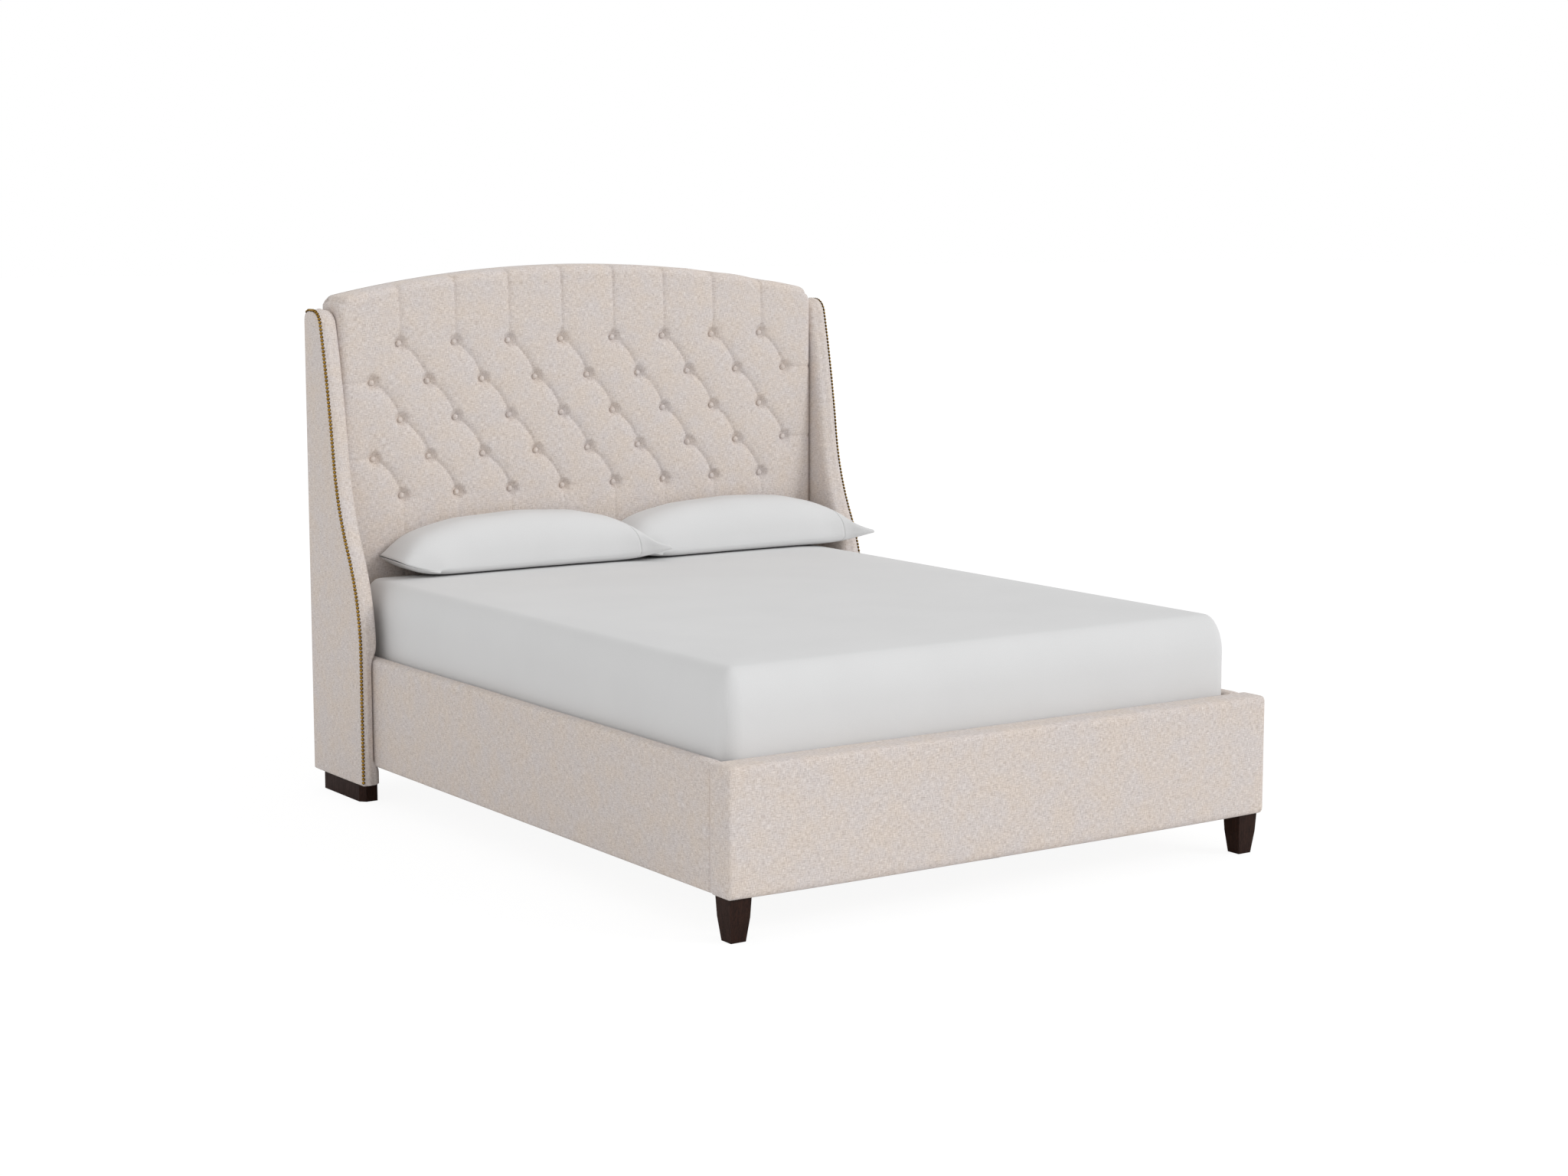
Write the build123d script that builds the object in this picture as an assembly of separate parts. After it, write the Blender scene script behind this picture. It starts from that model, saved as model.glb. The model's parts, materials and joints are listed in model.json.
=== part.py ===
# Wingback bed: a padded frame with a deep buttoned headboard between two flared wings.
# X runs across the bed, to the right as seen from the foot. Y runs from foot to head, Z up from the floor.
# The origin is on the floor under the middle of the bed. All lengths are in millimetres.
import os
from math import atan2, cos, hypot, pi, tan

from build123d import *

# Shared values
rest_gap = 0.3            # room between loose pieces, and round bolts and studs
overrun = 30              # how far a cutting shape runs past what it cuts

# Bedding, which sets the inside of the frame
mattress_width = 1622
mattress_length = 2010
mattress_thickness = 254
mattress_corner_radius = 45
mattress_edge_radius = 40
sheet_thickness = 1.5
sheet_tuck = 60           # hem of the fitted sheet under the mattress
foundation_inset = 16     # the foundation is this much smaller than the mattress all round
foundation_height = 229
foundation_edge_radius = 12
side_gap = 5.5            # sheet to rail
foot_gap = 2              # sheet to footboard
head_gap = 14             # sheet to headboard pad

# Frame heights
frame_bottom = 120.5
rail_height = 312.5
frame_top = frame_bottom + rail_height

# Footboard
footboard_thickness = 91
footboard_padding = 15
footboard_board = 18
footboard_edge_radius = 15
footboard_end_radius = 12
footboard_crown = 3       # swell of the padded faces
spacer_height = 44
spacer_width = 60
footboard_reach = 4       # the footboard stands this much past the rails at each end

# Side rails
rail_thickness = 42
rail_board = 25
rail_padding = 8
rail_top_padding = 10
rail_hem = 3              # cloth under the board
rail_flap = 60            # cloth turned down inside the board
rail_crown = 3
rail_edge_radius = 10
rail_bite = 18            # how far a rail presses into the wing's padding

# Slats and what carries them
cleat_width = 28
cleat_height = 25
cleat_lift = 4            # cleat above the bottom of the rails
slat_count = 10
slat_width = 70
slat_thickness = 18
slat_margin = 55          # first and last slat from the ends of the rails
slat_end_gap = 3          # slat end to rail cover
webbing_width = 25
webbing_thickness = 1
webbing_place_share = 0.31
centre_rail_width = 38
centre_rail_height = 64
hanger_wall = 3
hanger_depth = 32
hanger_ear = 26
centre_leg_width = 44
centre_leg_top_width = 60
leg_place_shares = {"front": 0.2, "middle": 0.5, "rear": 0.8}
glide_radius = 15
glide_height = 8
glide_neck = 4            # thread that shows between glide and leg
glide_stud_radius = 5
glide_stud_length = 30
glide_stud_share = 0.9    # how much of its bore the stud fills
glide_stud_gap = 0.08

# Headboard, from back to front
back_cover_thickness = 10
back_cover_bevel = 4
frame_depth = 58
panel_thickness = 12
pad_thickness = 42
lower_board_thickness = 24
post_width = 60
timber_height = 90
middle_rail_place_share = 0.5
arch_top = 1561           # top of the pad in the middle
arch_rise = 89            # the middle stands this much over the shoulders
shoulder_radius = 30
pad_edge_radius = 27
pad_bottom_radius = 10
pad_top_padding = 25
pad_side_cloth = 2
pad_lift = 7              # bottom of the pad over the rails

# Tufting
button_rows = (8, 9, 8, 9, 8)
button_side_share = 0.576  # outermost button to the side of the pad, as a share of the pitch
button_row_share = 0.6174  # from row to row, as a share of the pitch
first_row_drop = 227      # first row under the top of the pad
button_radius = 11
button_crown = 6
button_rim = 3
button_crown_share = 0.5  # width of the raised middle of a button
dimple_depth = 29
dimple_mouth_radius = 31
crease_half_width = 56    # half of the dip that leads to a diagonal crease
crease_depth = 11
crease_swell = 2.1        # how far the dip's walls bulge out
pleat_half_width = 30
pleat_depth = 6
pleat_swell = 1.2
dimple_clearance = 1.5
bowl_sides = 8            # hollows and buttons
pad_overshoot = 0.25      # how far creases and hollows run on in front of the pad, as a part of their depth

# Wings
wing_bottom = 59
wing_top = 1437
wing_foot_depth = 338     # depth of a wing at the floor
wing_board = 26
wing_outer_padding = 12
wing_skin = 2             # cloth left where the rail presses in
wing_front_padding = 15
wing_back_padding = 5
wing_top_padding = 12
wing_inner_radius = 18
wing_outer_bevel = 4
# the front edge is a chain of arcs: shares of the wing's height and depth where one arc meets the next
wing_lean_shares = ((0.2765, 1.0), (0.4956, 0.781), (0.6865, 0.5355), (0.9717, 0.3254))
wing_heel_radius = 34     # rear top corner

# Feet
wing_foot_width = 52
wing_foot_length = 252
wing_foot_back = 32       # foot behind the wing's rear face
wing_foot_chamfer = 16
front_foot_top = 64
front_foot_bottom = 42.5
front_foot_swell_share = 0.3    # how much of the taper is used up at half height
front_foot_side_inset = 12      # foot top inside the end of the footboard
front_foot_front_inset = 16

# Bolts
shank_sides = 8           # repeated small bolts, studs and holes have few sides, to keep the model light
head_sides = 6
bolt_radius = 4
bolt_head_radius = 7
bolt_head_height = 5
bracket_wall = 4
bracket_length = 60
bracket_flange = 30
bracket_height = 150
bracket_lift = 75         # bracket above the bottom of the rails
bracket_bolt_shares = (0.25, 0.75)      # bolts up the height of a bracket
rail_bolt_place_share = 0.6             # along the leg on the rail
end_bolt_place_share = 0.55             # along the leg on the end board
rail_bolt_depth_share = 0.7             # of the board it is screwed into
end_bolt_depth_share = 0.8
stud_length = 60
wing_foot_side_inset = 19  # foot inside the wing's outer face
wing_stud_place_shares = (0.2, 0.8)

# Pillows, squashed against the headboard
pillow_depth = 190
pillow_height = 168
pillow_start_gap = 106    # left end of the left pillow to the wing
pillow_overlap_share = 0.1132           # how much of their length the two pillows share
pillow_overhang_share = 0.0647          # how much of the right one passes in front of the wing
pillow_wall = 2.5         # pillowcase and the slack in it
pillow_head_gap = 4
# each section from the left end to the right one: place, front, rear, base, seam, top, belly, as shares
# of the pillow's length, depth, depth, height, height, height and depth
pillow_shares = (
    (0.000, 0.230, 0.060, 0.290, 0.330, 0.375, 0.02),
    (0.080, 0.660, 0.000, 0.060, 0.170, 0.660, 0.07),
    (0.260, 0.960, 0.000, 0.000, 0.130, 0.920, 0.12),
    (0.500, 1.000, 0.000, 0.000, 0.150, 1.000, 0.12),
    (0.720, 1.000, 0.000, 0.000, 0.160, 0.940, 0.12),
    (0.860, 1.120, 0.100, 0.020, 0.190, 0.700, 0.10),
    (0.940, 1.280, 0.900, 0.130, 0.220, 0.400, 0.06),
    (1.000, 1.410, 1.200, 0.210, 0.245, 0.285, 0.02),
)
# corners of the crown between the front seam and the rear: part of its run back and of its rise
pillow_crown_shares = ((0.1, 0.34), (0.35, 0.68), (0.68, 0.91))
pillow_core_sections = slice(1, 6)      # the stuffing keeps out of the ends of the case

# Places worked out from the sizes above
rail_inner = mattress_width / 2 + sheet_thickness + side_gap
rail_outer = rail_inner + rail_thickness
rail_board_outer = rail_outer - rail_padding
rail_board_inner = rail_board_outer - rail_board
wing_inner = rail_outer - rail_bite
wing_board_inner = wing_inner + rail_bite + wing_skin
wing_board_outer = wing_board_inner + wing_board
wing_outer = wing_board_outer + wing_outer_padding
footboard_half = rail_outer + footboard_reach
pillow_span = 2 * wing_inner - pillow_start_gap
pillow_length = pillow_span / (2 - pillow_overlap_share - pillow_overhang_share)
pillow_start = pillow_start_gap - wing_inner
pillow_offset = pillow_length * (1 - pillow_overlap_share)
button_pitch = wing_inner / ((max(button_rows) - 1) / 2 + button_side_share)
button_row_pitch = button_pitch * button_row_share
first_row_height = arch_top - first_row_drop

headboard_depth = back_cover_thickness + frame_depth + panel_thickness + pad_thickness
sheet_length = mattress_length + 2 * sheet_thickness
bed_length = footboard_thickness + foot_gap + sheet_length + head_gap + headboard_depth
foot_face = -bed_length / 2
head_face = bed_length / 2
footboard_back = foot_face + footboard_thickness
back_cover_front = head_face - back_cover_thickness
frame_front = back_cover_front - frame_depth
panel_front = frame_front - panel_thickness
pad_front = panel_front - pad_thickness
lower_board_front = frame_front - lower_board_thickness

cleat_bottom = frame_bottom + cleat_lift
slat_bottom = cleat_bottom + cleat_height
slat_top = slat_bottom + slat_thickness
foundation_bottom = slat_top + rest_gap
foundation_top = foundation_bottom + foundation_height
sheet_bottom = foundation_top + rest_gap
mattress_bottom = sheet_bottom + sheet_thickness
mattress_top = mattress_bottom + mattress_thickness
sheet_top = mattress_top + sheet_thickness
pad_bottom = frame_top + pad_lift
rail_board_bottom = frame_bottom + rail_hem
rail_board_top = frame_top - rail_top_padding


def block(x_range, y_range, z_range):
    """A box between two values on each axis."""
    centre = [(low + high) / 2 for low, high in (x_range, y_range, z_range)]
    return Pos(*centre) * Box(*[high - low for low, high in (x_range, y_range, z_range)])


def standing(outline, front, back):
    """An outline drawn in X and Z, given its depth between two values of Y."""
    plane = Plane((0, back, 0), x_dir=(1, 0, 0), z_dir=(0, -1, 0))
    return extrude(plane * outline, amount=back - front)


def sideways(outline, inner, outer):
    """An outline drawn in Y and Z, given its width between two values of X."""
    return extrude(Plane.YZ.offset(inner) * outline, amount=outer - inner)


def rounded_block(half_width, y_range, z_range, corner_radius, edge_radius):
    """A box with rounded upright corners and rounded top edges: where three rounded outlines meet."""
    middle = (y_range[0] + y_range[1]) / 2
    length = y_range[1] - y_range[0]
    height = z_range[1] - z_range[0]

    def rounded_top(width):
        outline = Rectangle(width, height, align=(Align.CENTER, Align.MIN))
        return fillet(outline.vertices().sort_by(Axis.Y)[-2:], edge_radius)

    outline = RectangleRounded(2 * half_width, length, corner_radius)
    plan = Pos(0, middle, z_range[0]) * extrude(outline, amount=height)
    across = standing(Pos(0, z_range[0]) * rounded_top(2 * half_width), *y_range)
    along = sideways(Pos(middle, z_range[0]) * rounded_top(length), -half_width, half_width)
    return plan & across & along


def rod(start, direction, length, radius):
    """A round bar from a point along a direction."""
    upright = Cylinder(radius, length, align=(Align.CENTER, Align.CENTER, Align.MIN))
    return Plane(start, z_dir=direction) * upright


def bar(start, direction, length, radius, sides=shank_sides):
    """A bar with flat sides from a point along a direction; its corners lie on the radius."""
    return extrude(Plane(start, z_dir=direction) * RegularPolygon(radius, sides), amount=length)


def frustum(sides, low, high, height):
    """An upright tapered bar with an even number of flat sides, from where its axis starts.

    It is what sloping slabs, turned round the axis, have in common. Low and high are the distances from the
    axis to the sides at the bottom and at the top."""
    outline = make_face(Polyline((-low, 0), (low, 0), (high, height), (-high, height), close=True))
    slab = extrude(Plane.XZ * outline, amount=max(low, high) / cos(pi / sides), both=True)
    body = slab
    for turn in range(1, sides // 2):
        body = body & Rot(0, 0, turn * 360 / sides) * slab
    return body


def mirrored(body):
    """The same piece on the other side of the bed."""
    return mirror(body, about=Plane.YZ)


# Footboard: two boards with spacers between them, wrapped in one padded cover with soft edges
def footboard_core_ranges():
    inner_half = footboard_half - footboard_padding
    front = foot_face + footboard_padding
    back = footboard_back - footboard_padding
    return inner_half, front, back, frame_top - footboard_padding


def make_footboard_boards():
    half, front, back, top = footboard_core_ranges()
    front_board = block((-half, half), (front, front + footboard_board), (frame_bottom, top))
    back_board = block((-half, half), (back - footboard_board, back), (frame_bottom, top))
    return front_board, back_board


def make_footboard_spacers():
    half, front, back, top = footboard_core_ranges()
    depth = (front + footboard_board, back - footboard_board)
    bottom_strip = block((-half, half), depth, (frame_bottom, frame_bottom + spacer_height))
    top_strip = block((-half, half), depth, (top - spacer_height, top))
    pieces = [bottom_strip, top_strip]
    upright = (frame_bottom + spacer_height, top - spacer_height)
    for place in (-half + spacer_width / 2, 0, half - spacer_width / 2):
        pieces.append(block((place - spacer_width / 2, place + spacer_width / 2), depth, upright))
    return pieces


def make_footboard_cover():
    half, front, back, top = footboard_core_ranges()
    middle = (foot_face + footboard_back) / 2
    # the section swells on top and in front, as padding does under stretched cloth
    section = make_face(
        Line((footboard_back, frame_bottom), (foot_face + footboard_crown, frame_bottom))
        + ThreePointArc(
            (foot_face + footboard_crown, frame_bottom),
            (foot_face, (frame_bottom + frame_top) / 2),
            (foot_face + footboard_crown, frame_top - footboard_crown),
        )
        + ThreePointArc(
            (foot_face + footboard_crown, frame_top - footboard_crown),
            (middle, frame_top),
            (footboard_back, frame_top - footboard_crown),
        )
        + Line((footboard_back, frame_top - footboard_crown), (footboard_back, frame_bottom))
    )
    section = fillet(section.vertices().sort_by(Axis.Y)[-2:], footboard_edge_radius)
    body = sideways(section, -footboard_half, footboard_half)
    ends = body.faces().sort_by(Axis.X)
    rims = [e for f in (ends[0], ends[-1]) for e in f.edges() if e.center().Z > frame_bottom + overrun / 2]
    body = fillet(rims, footboard_end_radius)
    return body - block((-half, half), (front, back), (frame_bottom - overrun, top))


# Side rails: a board in a cover that is open on the inside, where the slat cleat is fixed
def make_rail_board():
    width = (rail_board_inner, rail_board_outer)
    return block(width, (footboard_back, lower_board_front), (rail_board_bottom, rail_board_top))


def make_rail_cover():
    flank = rail_outer - rail_crown
    shoulder = frame_top - rail_crown
    section = make_face(
        Line((rail_inner, frame_bottom), (flank, frame_bottom))
        + ThreePointArc((flank, frame_bottom), (rail_outer, (frame_bottom + shoulder) / 2), (flank, shoulder))
        + ThreePointArc((flank, shoulder), ((flank + rail_inner) / 2, frame_top), (rail_inner, shoulder))
        + Line((rail_inner, shoulder), (rail_inner, frame_bottom))
    )
    section = fillet(section.vertices().sort_by(Axis.Y)[-2:], rail_edge_radius)
    body = standing(section, footboard_back, lower_board_front)
    run = (footboard_back - overrun, lower_board_front + overrun)
    pocket = block((rail_board_inner, rail_board_outer), run, (rail_board_bottom, rail_board_top))
    open_height = (frame_bottom - overrun, rail_board_top - rail_flap)
    open_side = block((rail_inner - overrun, rail_board_inner), run, open_height)
    return body - pocket - open_side


def make_cleat():
    inner = rail_board_inner - cleat_width
    return block((inner, rail_board_inner), (footboard_back, lower_board_front), (cleat_bottom, slat_bottom))


# Steel angles join the rails to the headboard and the footboard
bracket_low = frame_bottom + bracket_lift


def make_bracket(face, inward):
    """An angle between a rail board and an end face; inward is +1 at the foot and -1 at the head."""
    rail_leg = block(
        (rail_board_inner - bracket_wall, rail_board_inner),
        sorted((face, face + inward * bracket_length)),
        (bracket_low, bracket_low + bracket_height),
    )
    end_leg = block(
        (rail_board_inner - bracket_flange, rail_board_inner),
        sorted((face, face + inward * bracket_wall)),
        (bracket_low, bracket_low + bracket_height),
    )
    body = rail_leg + end_leg
    return body - bracket_holes(face, inward)


def bracket_axes(face, inward):
    """Start point and direction of each bolt of one bracket, at the face its head rests on."""
    along = face + inward * bracket_length * rail_bolt_place_share
    across = rail_board_inner - bracket_flange * end_bolt_place_share
    end_depth = lower_board_thickness if inward < 0 else footboard_padding + footboard_board
    rail_length = rail_board * rail_bolt_depth_share + bracket_wall
    end_length = end_depth * end_bolt_depth_share + bracket_wall
    axes = []
    for share in bracket_bolt_shares:
        height = bracket_low + bracket_height * share
        axes.append(((rail_board_inner - bracket_wall, along, height), (1, 0, 0), rail_length))
        axes.append(((across, face + inward * bracket_wall, height), (0, -inward, 0), end_length))
    return axes


def bracket_holes(face, inward):
    return [
        bar(start, direction, length + rest_gap, bolt_radius + rest_gap)
        for start, direction, length in bracket_axes(face, inward)
    ]


def make_bracket_bolts():
    bolts = []
    for face, inward in ((footboard_back, 1), (lower_board_front, -1)):
        for start, direction, length in bracket_axes(face, inward):
            back = tuple(-value for value in direction)
            bolts.append(
                bar(start, direction, length, bolt_radius)
                + bar(start, back, bolt_head_height, bolt_head_radius, head_sides)
            )
    return bolts + [mirrored(bolt) for bolt in bolts]


def all_bracket_holes():
    holes = bracket_holes(footboard_back, 1) + bracket_holes(lower_board_front, -1)
    return holes + [mirrored(hole) for hole in holes]


# Slats on cleats, with a rail and three legs under the middle
slat_half = rail_inner - slat_end_gap
slat_first = footboard_back + slat_margin
slat_last = lower_board_front - slat_margin - slat_width


def make_slat(index):
    start = slat_first + (slat_last - slat_first) * index / (slat_count - 1)
    return block((-slat_half, slat_half), (start, start + slat_width), (slat_bottom, slat_top))


def make_webbing():
    straps = []
    for side in (-1, 1):
        middle = side * webbing_place_share * 2 * slat_half
        straps.append(
            block(
                (middle - webbing_width / 2, middle + webbing_width / 2),
                (slat_first, slat_last + slat_width),
                (slat_bottom - webbing_thickness, slat_bottom),
            )
        )
    return straps


centre_rail_bottom = slat_bottom - centre_rail_height
centre_half = centre_rail_width / 2


def make_centre_rail():
    return block(
        (-centre_half, centre_half),
        (footboard_back + hanger_wall, lower_board_front - hanger_wall),
        (centre_rail_bottom, slat_bottom),
    )


def make_hanger(face, inward):
    """A steel stirrup that holds one end of the centre rail."""
    outer_half = centre_half + hanger_wall
    plate = block(
        (-outer_half - hanger_ear, outer_half + hanger_ear),
        sorted((face, face + inward * hanger_wall)),
        (cleat_bottom, slat_bottom),
    )
    cup = block(
        (-outer_half, outer_half),
        sorted((face, face + inward * hanger_depth)),
        (centre_rail_bottom - hanger_wall, slat_bottom - hanger_wall),
    )
    room = block(
        (-centre_half, centre_half),
        sorted((face + inward * hanger_wall, face + inward * (hanger_depth + overrun))),
        (centre_rail_bottom, slat_bottom + overrun),
    )
    return plate + cup - room


leg_bottom = glide_height + glide_neck


def leg_place(share):
    return footboard_back + share * (lower_board_front - footboard_back)


def make_centre_leg(share):
    """A tapered square leg under the centre rail, bored for its levelling glide."""
    middle = leg_place(share)
    taper = frustum(4, centre_leg_width / 2, centre_leg_top_width / 2, centre_rail_bottom - leg_bottom)
    body = Pos(0, middle, leg_bottom) * taper
    bore = glide_stud_radius + glide_stud_gap
    return body - rod((0, middle, leg_bottom - overrun), (0, 0, 1), overrun + glide_stud_length, bore)


def make_glide(share):
    """A levelling glide: a six sided foot, to be turned by a spanner, on a threaded stud."""
    middle = leg_place(share)
    foot = bar((0, middle, 0), (0, 0, 1), glide_height, glide_radius, head_sides)
    reach = glide_neck + glide_stud_length * glide_stud_share
    stud = rod((0, middle, glide_height), (0, 0, 1), reach, glide_stud_radius)
    return foot + stud


# Headboard outline: straight sides, rounded shoulders and one long arch
def headboard_outline(top_inset, side_inset, bottom, radius):
    half = wing_inner - side_inset
    shoulder = arch_top - arch_rise - top_inset
    outline = make_face(
        Line((-half, bottom), (half, bottom))
        + Line((half, bottom), (half, shoulder))
        + ThreePointArc((half, shoulder), (0, arch_top - top_inset), (-half, shoulder))
        + Line((-half, shoulder), (-half, bottom))
    )
    if radius:
        outline = fillet(outline.vertices().sort_by(Axis.Y)[-2:], radius)
    return outline


def make_headboard_panel():
    outline = headboard_outline(pad_top_padding, pad_side_cloth, pad_bottom, 0)
    return standing(outline, panel_front, frame_front)


def frame_part(x_range, z_range):
    """The part of the headboard's frame inside a box, cut to the arch."""
    whole = standing(
        headboard_outline(pad_top_padding, pad_side_cloth, cleat_bottom, 0), frame_front, back_cover_front
    )
    return whole & block(x_range, (frame_front - overrun, head_face), z_range)


timber_half = wing_inner - pad_side_cloth - post_width
arch_end = arch_top - pad_top_padding - arch_rise
middle_rail_height = pad_bottom + (arch_end - pad_bottom) * middle_rail_place_share


def make_post():
    return frame_part((timber_half, wing_inner), (cleat_bottom, arch_top))


def make_top_rail():
    return frame_part((-timber_half, timber_half), (arch_end - timber_height, arch_top))


def make_middle_rail():
    low = middle_rail_height - timber_height / 2
    return frame_part((-timber_half, timber_half), (low, low + timber_height))


def make_lower_board():
    return block((-wing_inner, wing_inner), (lower_board_front, frame_front), (cleat_bottom, pad_bottom))


def make_back_cover():
    outline = headboard_outline(rest_gap, 0, cleat_bottom, shoulder_radius)
    body = standing(outline, back_cover_front, head_face)
    return chamfer(body.faces().sort_by(Axis.Y)[-1].edges(), back_cover_bevel)


# Tufting: buttons in staggered rows, joined by diagonal creases that run through several rows
def button_grid():
    """Row and column of every button; a column is a whole or half number of pitches from the middle."""
    return [(row, index - (count - 1) / 2) for row, count in enumerate(button_rows) for index in range(count)]


def button_place(row, column):
    return column * button_pitch, first_row_height - row * button_row_pitch


def arch_height(x):
    """Height of the pad's top over a place across the bed."""
    half = wing_inner
    radius = (half**2 + arch_rise**2) / (2 * arch_rise)
    return arch_top - radius + (radius**2 - x**2) ** 0.5


def dip_section(half_width, depth, swell):
    """Section of a crease: two walls that bulge in the middle and meet in a line, open towards the front.

    The walls run on past the front of the pad, so that they cross it at an angle."""
    reach = half_width * (1 + pad_overshoot)
    top = -depth * pad_overshoot
    slope = hypot(half_width, depth)
    middle_x = reach / 2 + swell * depth / slope
    middle_y = (depth + top) / 2 - swell * half_width / slope
    right = [(reach, -overrun), (reach, top), (middle_x, middle_y)]
    left = [(-x, y) for x, y in reversed(right)]
    return make_face(Polyline(*right, (0, depth), *left, close=True))


def crease(start, end, half_width, depth, swell, fade=0):
    """Cutting shape of a straight crease in the front of the pad, between two places in X and Z.

    The crease gets shallower by the fade on its way."""
    run = (end[0] - start[0], -fade, end[1] - start[1])
    across = (run[2], 0, -run[0])
    plane = Plane((start[0], pad_front, start[1]), x_dir=across, z_dir=run)
    if plane.y_dir.Y < 0:
        plane = Plane(plane.origin, x_dir=-plane.x_dir, z_dir=run)
    return extrude(plane * dip_section(half_width, depth, swell), amount=Vector(*run).length)


def diagonal_lines():
    """Ends of the long diagonals, each from its highest to its lowest button."""
    grid = set(button_grid())
    lines = []
    for step in (-1 / 2, 1 / 2):
        for row, column in button_grid():
            if (row - 1, column - step) in grid:
                continue
            last = (row, column)
            while (last[0] + 1, last[1] + step) in grid:
                last = (last[0] + 1, last[1] + step)
            if last != (row, column):
                lines.append((button_place(row, column), button_place(*last)))
    return lines


def pleat_lines():
    """Ends of the straight pleats, which fade from the outer buttons to the rolled edges of the pad."""
    lines = []
    last_row = len(button_rows) - 1
    widest = max(button_rows)
    for row, column in button_grid():
        x, z = button_place(row, column)
        if row == 0:
            lines.append(((x, z), (x, arch_height(x) - pad_edge_radius)))
        if row == last_row:
            lines.append(((x, z), (x, pad_bottom + pad_bottom_radius)))
        if button_rows[row] == widest and abs(column) == (widest - 1) / 2:
            side = wing_inner - pad_edge_radius
            lines.append(((x, z), (side if x > 0 else -side, z)))
    return lines


def make_bowl(mouth_radius, wall_radius, depth):
    """Cutting shape of the hollow round a button, wide at the front of the pad and narrow at the button."""
    reach = 1 + pad_overshoot
    widest = wall_radius + (mouth_radius - wall_radius) * reach
    return Pos(0, depth, 0) * Rot(90, 0, 0) * frustum(bowl_sides, wall_radius, widest, depth * reach)


def make_pad():
    """The pad: a thick slab with soft edges that also wraps over the frame, cut by creases and hollows."""
    body = standing(headboard_outline(0, 0, pad_bottom, shoulder_radius), pad_front, back_cover_front)
    front_edges = body.faces().sort_by(Axis.Y)[0].edges().sort_by(Axis.Z)
    body = fillet(front_edges[1:], pad_edge_radius)
    body = fillet(body.faces().sort_by(Axis.Z)[0].edges().sort_by(Axis.Y)[0], pad_bottom_radius)
    body = body - standing(
        headboard_outline(pad_top_padding, pad_side_cloth, pad_bottom - overrun, 0),
        panel_front,
        back_cover_front + overrun,
    )
    body = body - [crease(*line, crease_half_width, crease_depth, crease_swell) for line in diagonal_lines()]
    body = body - [
        crease(*line, pleat_half_width, pleat_depth, pleat_swell, pleat_depth) for line in pleat_lines()
    ]
    dimple = make_bowl(dimple_mouth_radius, button_radius + dimple_clearance, dimple_depth)
    return body - [Pos(x, pad_front, z) * dimple for x, z in (button_place(*key) for key in button_grid())]


def make_buttons():
    """Cloth covered buttons: a short drum with a raised middle, seated on the bottom of each hollow."""
    drum = frustum(bowl_sides, button_radius, button_radius, button_rim)
    crown = frustum(bowl_sides, button_radius, button_radius * button_crown_share, button_crown)
    button = Rot(90, 0, 0) * (drum + Pos(0, 0, button_rim) * crown)
    seats = [button_place(*key) for key in button_grid()]
    return [Pos(x, pad_front + dimple_depth, z) * button for x, z in seats]


# Wings: a shaped board in a padded cover whose front edge leans back from the rails to the top
def wing_profile(front_inset, top_inset, back_inset):
    """The wing's side view in Y and Z, drawn inside the padded outline by the given insets."""
    height = wing_top - wing_bottom

    def place(depth_share, height_share):
        return (
            head_face - depth_share * wing_foot_depth + front_inset,
            wing_bottom + height_share * height - top_inset * height_share,
        )

    front = [place(depth, height_share) for height_share, depth in wing_lean_shares]
    low = place(1, 0)
    edge = Line(low, front[0])
    heading = Vector(0, 1)
    for start, end in zip(front, front[1:]):
        arc = TangentArc(start, end, tangent=heading)
        heading = arc % 1
        edge = edge + arc
    # the last arc turns level at the top of the wing
    top = wing_top - top_inset
    rise = top - front[-1][1]
    lean = atan2(heading.X, heading.Y)
    crest = (front[-1][0] + rise * tan(pi / 4 + lean / 2), top)
    back_top = (head_face - back_inset, top)
    back_low = (head_face - back_inset, wing_bottom)
    outline = make_face(
        edge
        + TangentArc(front[-1], crest, tangent=heading)
        + Line(crest, back_top)
        + Line(back_top, back_low)
        + Line(back_low, low)
    )
    heel = outline.vertices().sort_by(lambda v: v.X + v.Y)[-1]
    return fillet(heel, wing_heel_radius - back_inset)


def make_wing_frame():
    profile = wing_profile(wing_front_padding, wing_top_padding, wing_back_padding)
    return sideways(profile, wing_board_inner, wing_board_outer)


def make_wing_cover():
    def rim(body, place):
        """The edges of the wing's inner (0) or outer (-1) face, without the bottom and the rear."""
        edges = body.faces().sort_by(Axis.X)[place].edges()
        upper = [e for e in edges if e.center().Z > wing_bottom + overrun]
        return [e for e in upper if e.center().Y < head_face - rest_gap]

    body = sideways(wing_profile(0, 0, 0), wing_inner, wing_outer)
    body = fillet(rim(body, 0), wing_inner_radius)
    body = chamfer(rim(body, -1), wing_outer_bevel)
    board = wing_profile(wing_front_padding, wing_top_padding, wing_back_padding)
    pocket = sideways(board, wing_board_inner, wing_board_outer)
    pocket_mouth = block(
        (wing_board_inner, wing_board_outer),
        (head_face - wing_foot_depth + wing_front_padding, head_face - wing_back_padding),
        (wing_bottom - overrun, wing_bottom + rest_gap),
    )
    rail_seat = block(
        (wing_inner - overrun, rail_outer),
        (head_face - wing_foot_depth - overrun, lower_board_front),
        (frame_bottom, frame_top),
    )
    return body - pocket - pocket_mouth - rail_seat


def make_wing_foot():
    outer = wing_outer - wing_foot_side_inset
    back = head_face - wing_foot_back
    body = block((outer - wing_foot_width, outer), (back - wing_foot_length, back), (0, wing_bottom))
    corner = body.edges().filter_by(Axis.Z).sort_by(lambda e: e.center().Y - e.center().X)[0]
    return chamfer(corner, wing_foot_chamfer)


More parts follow.
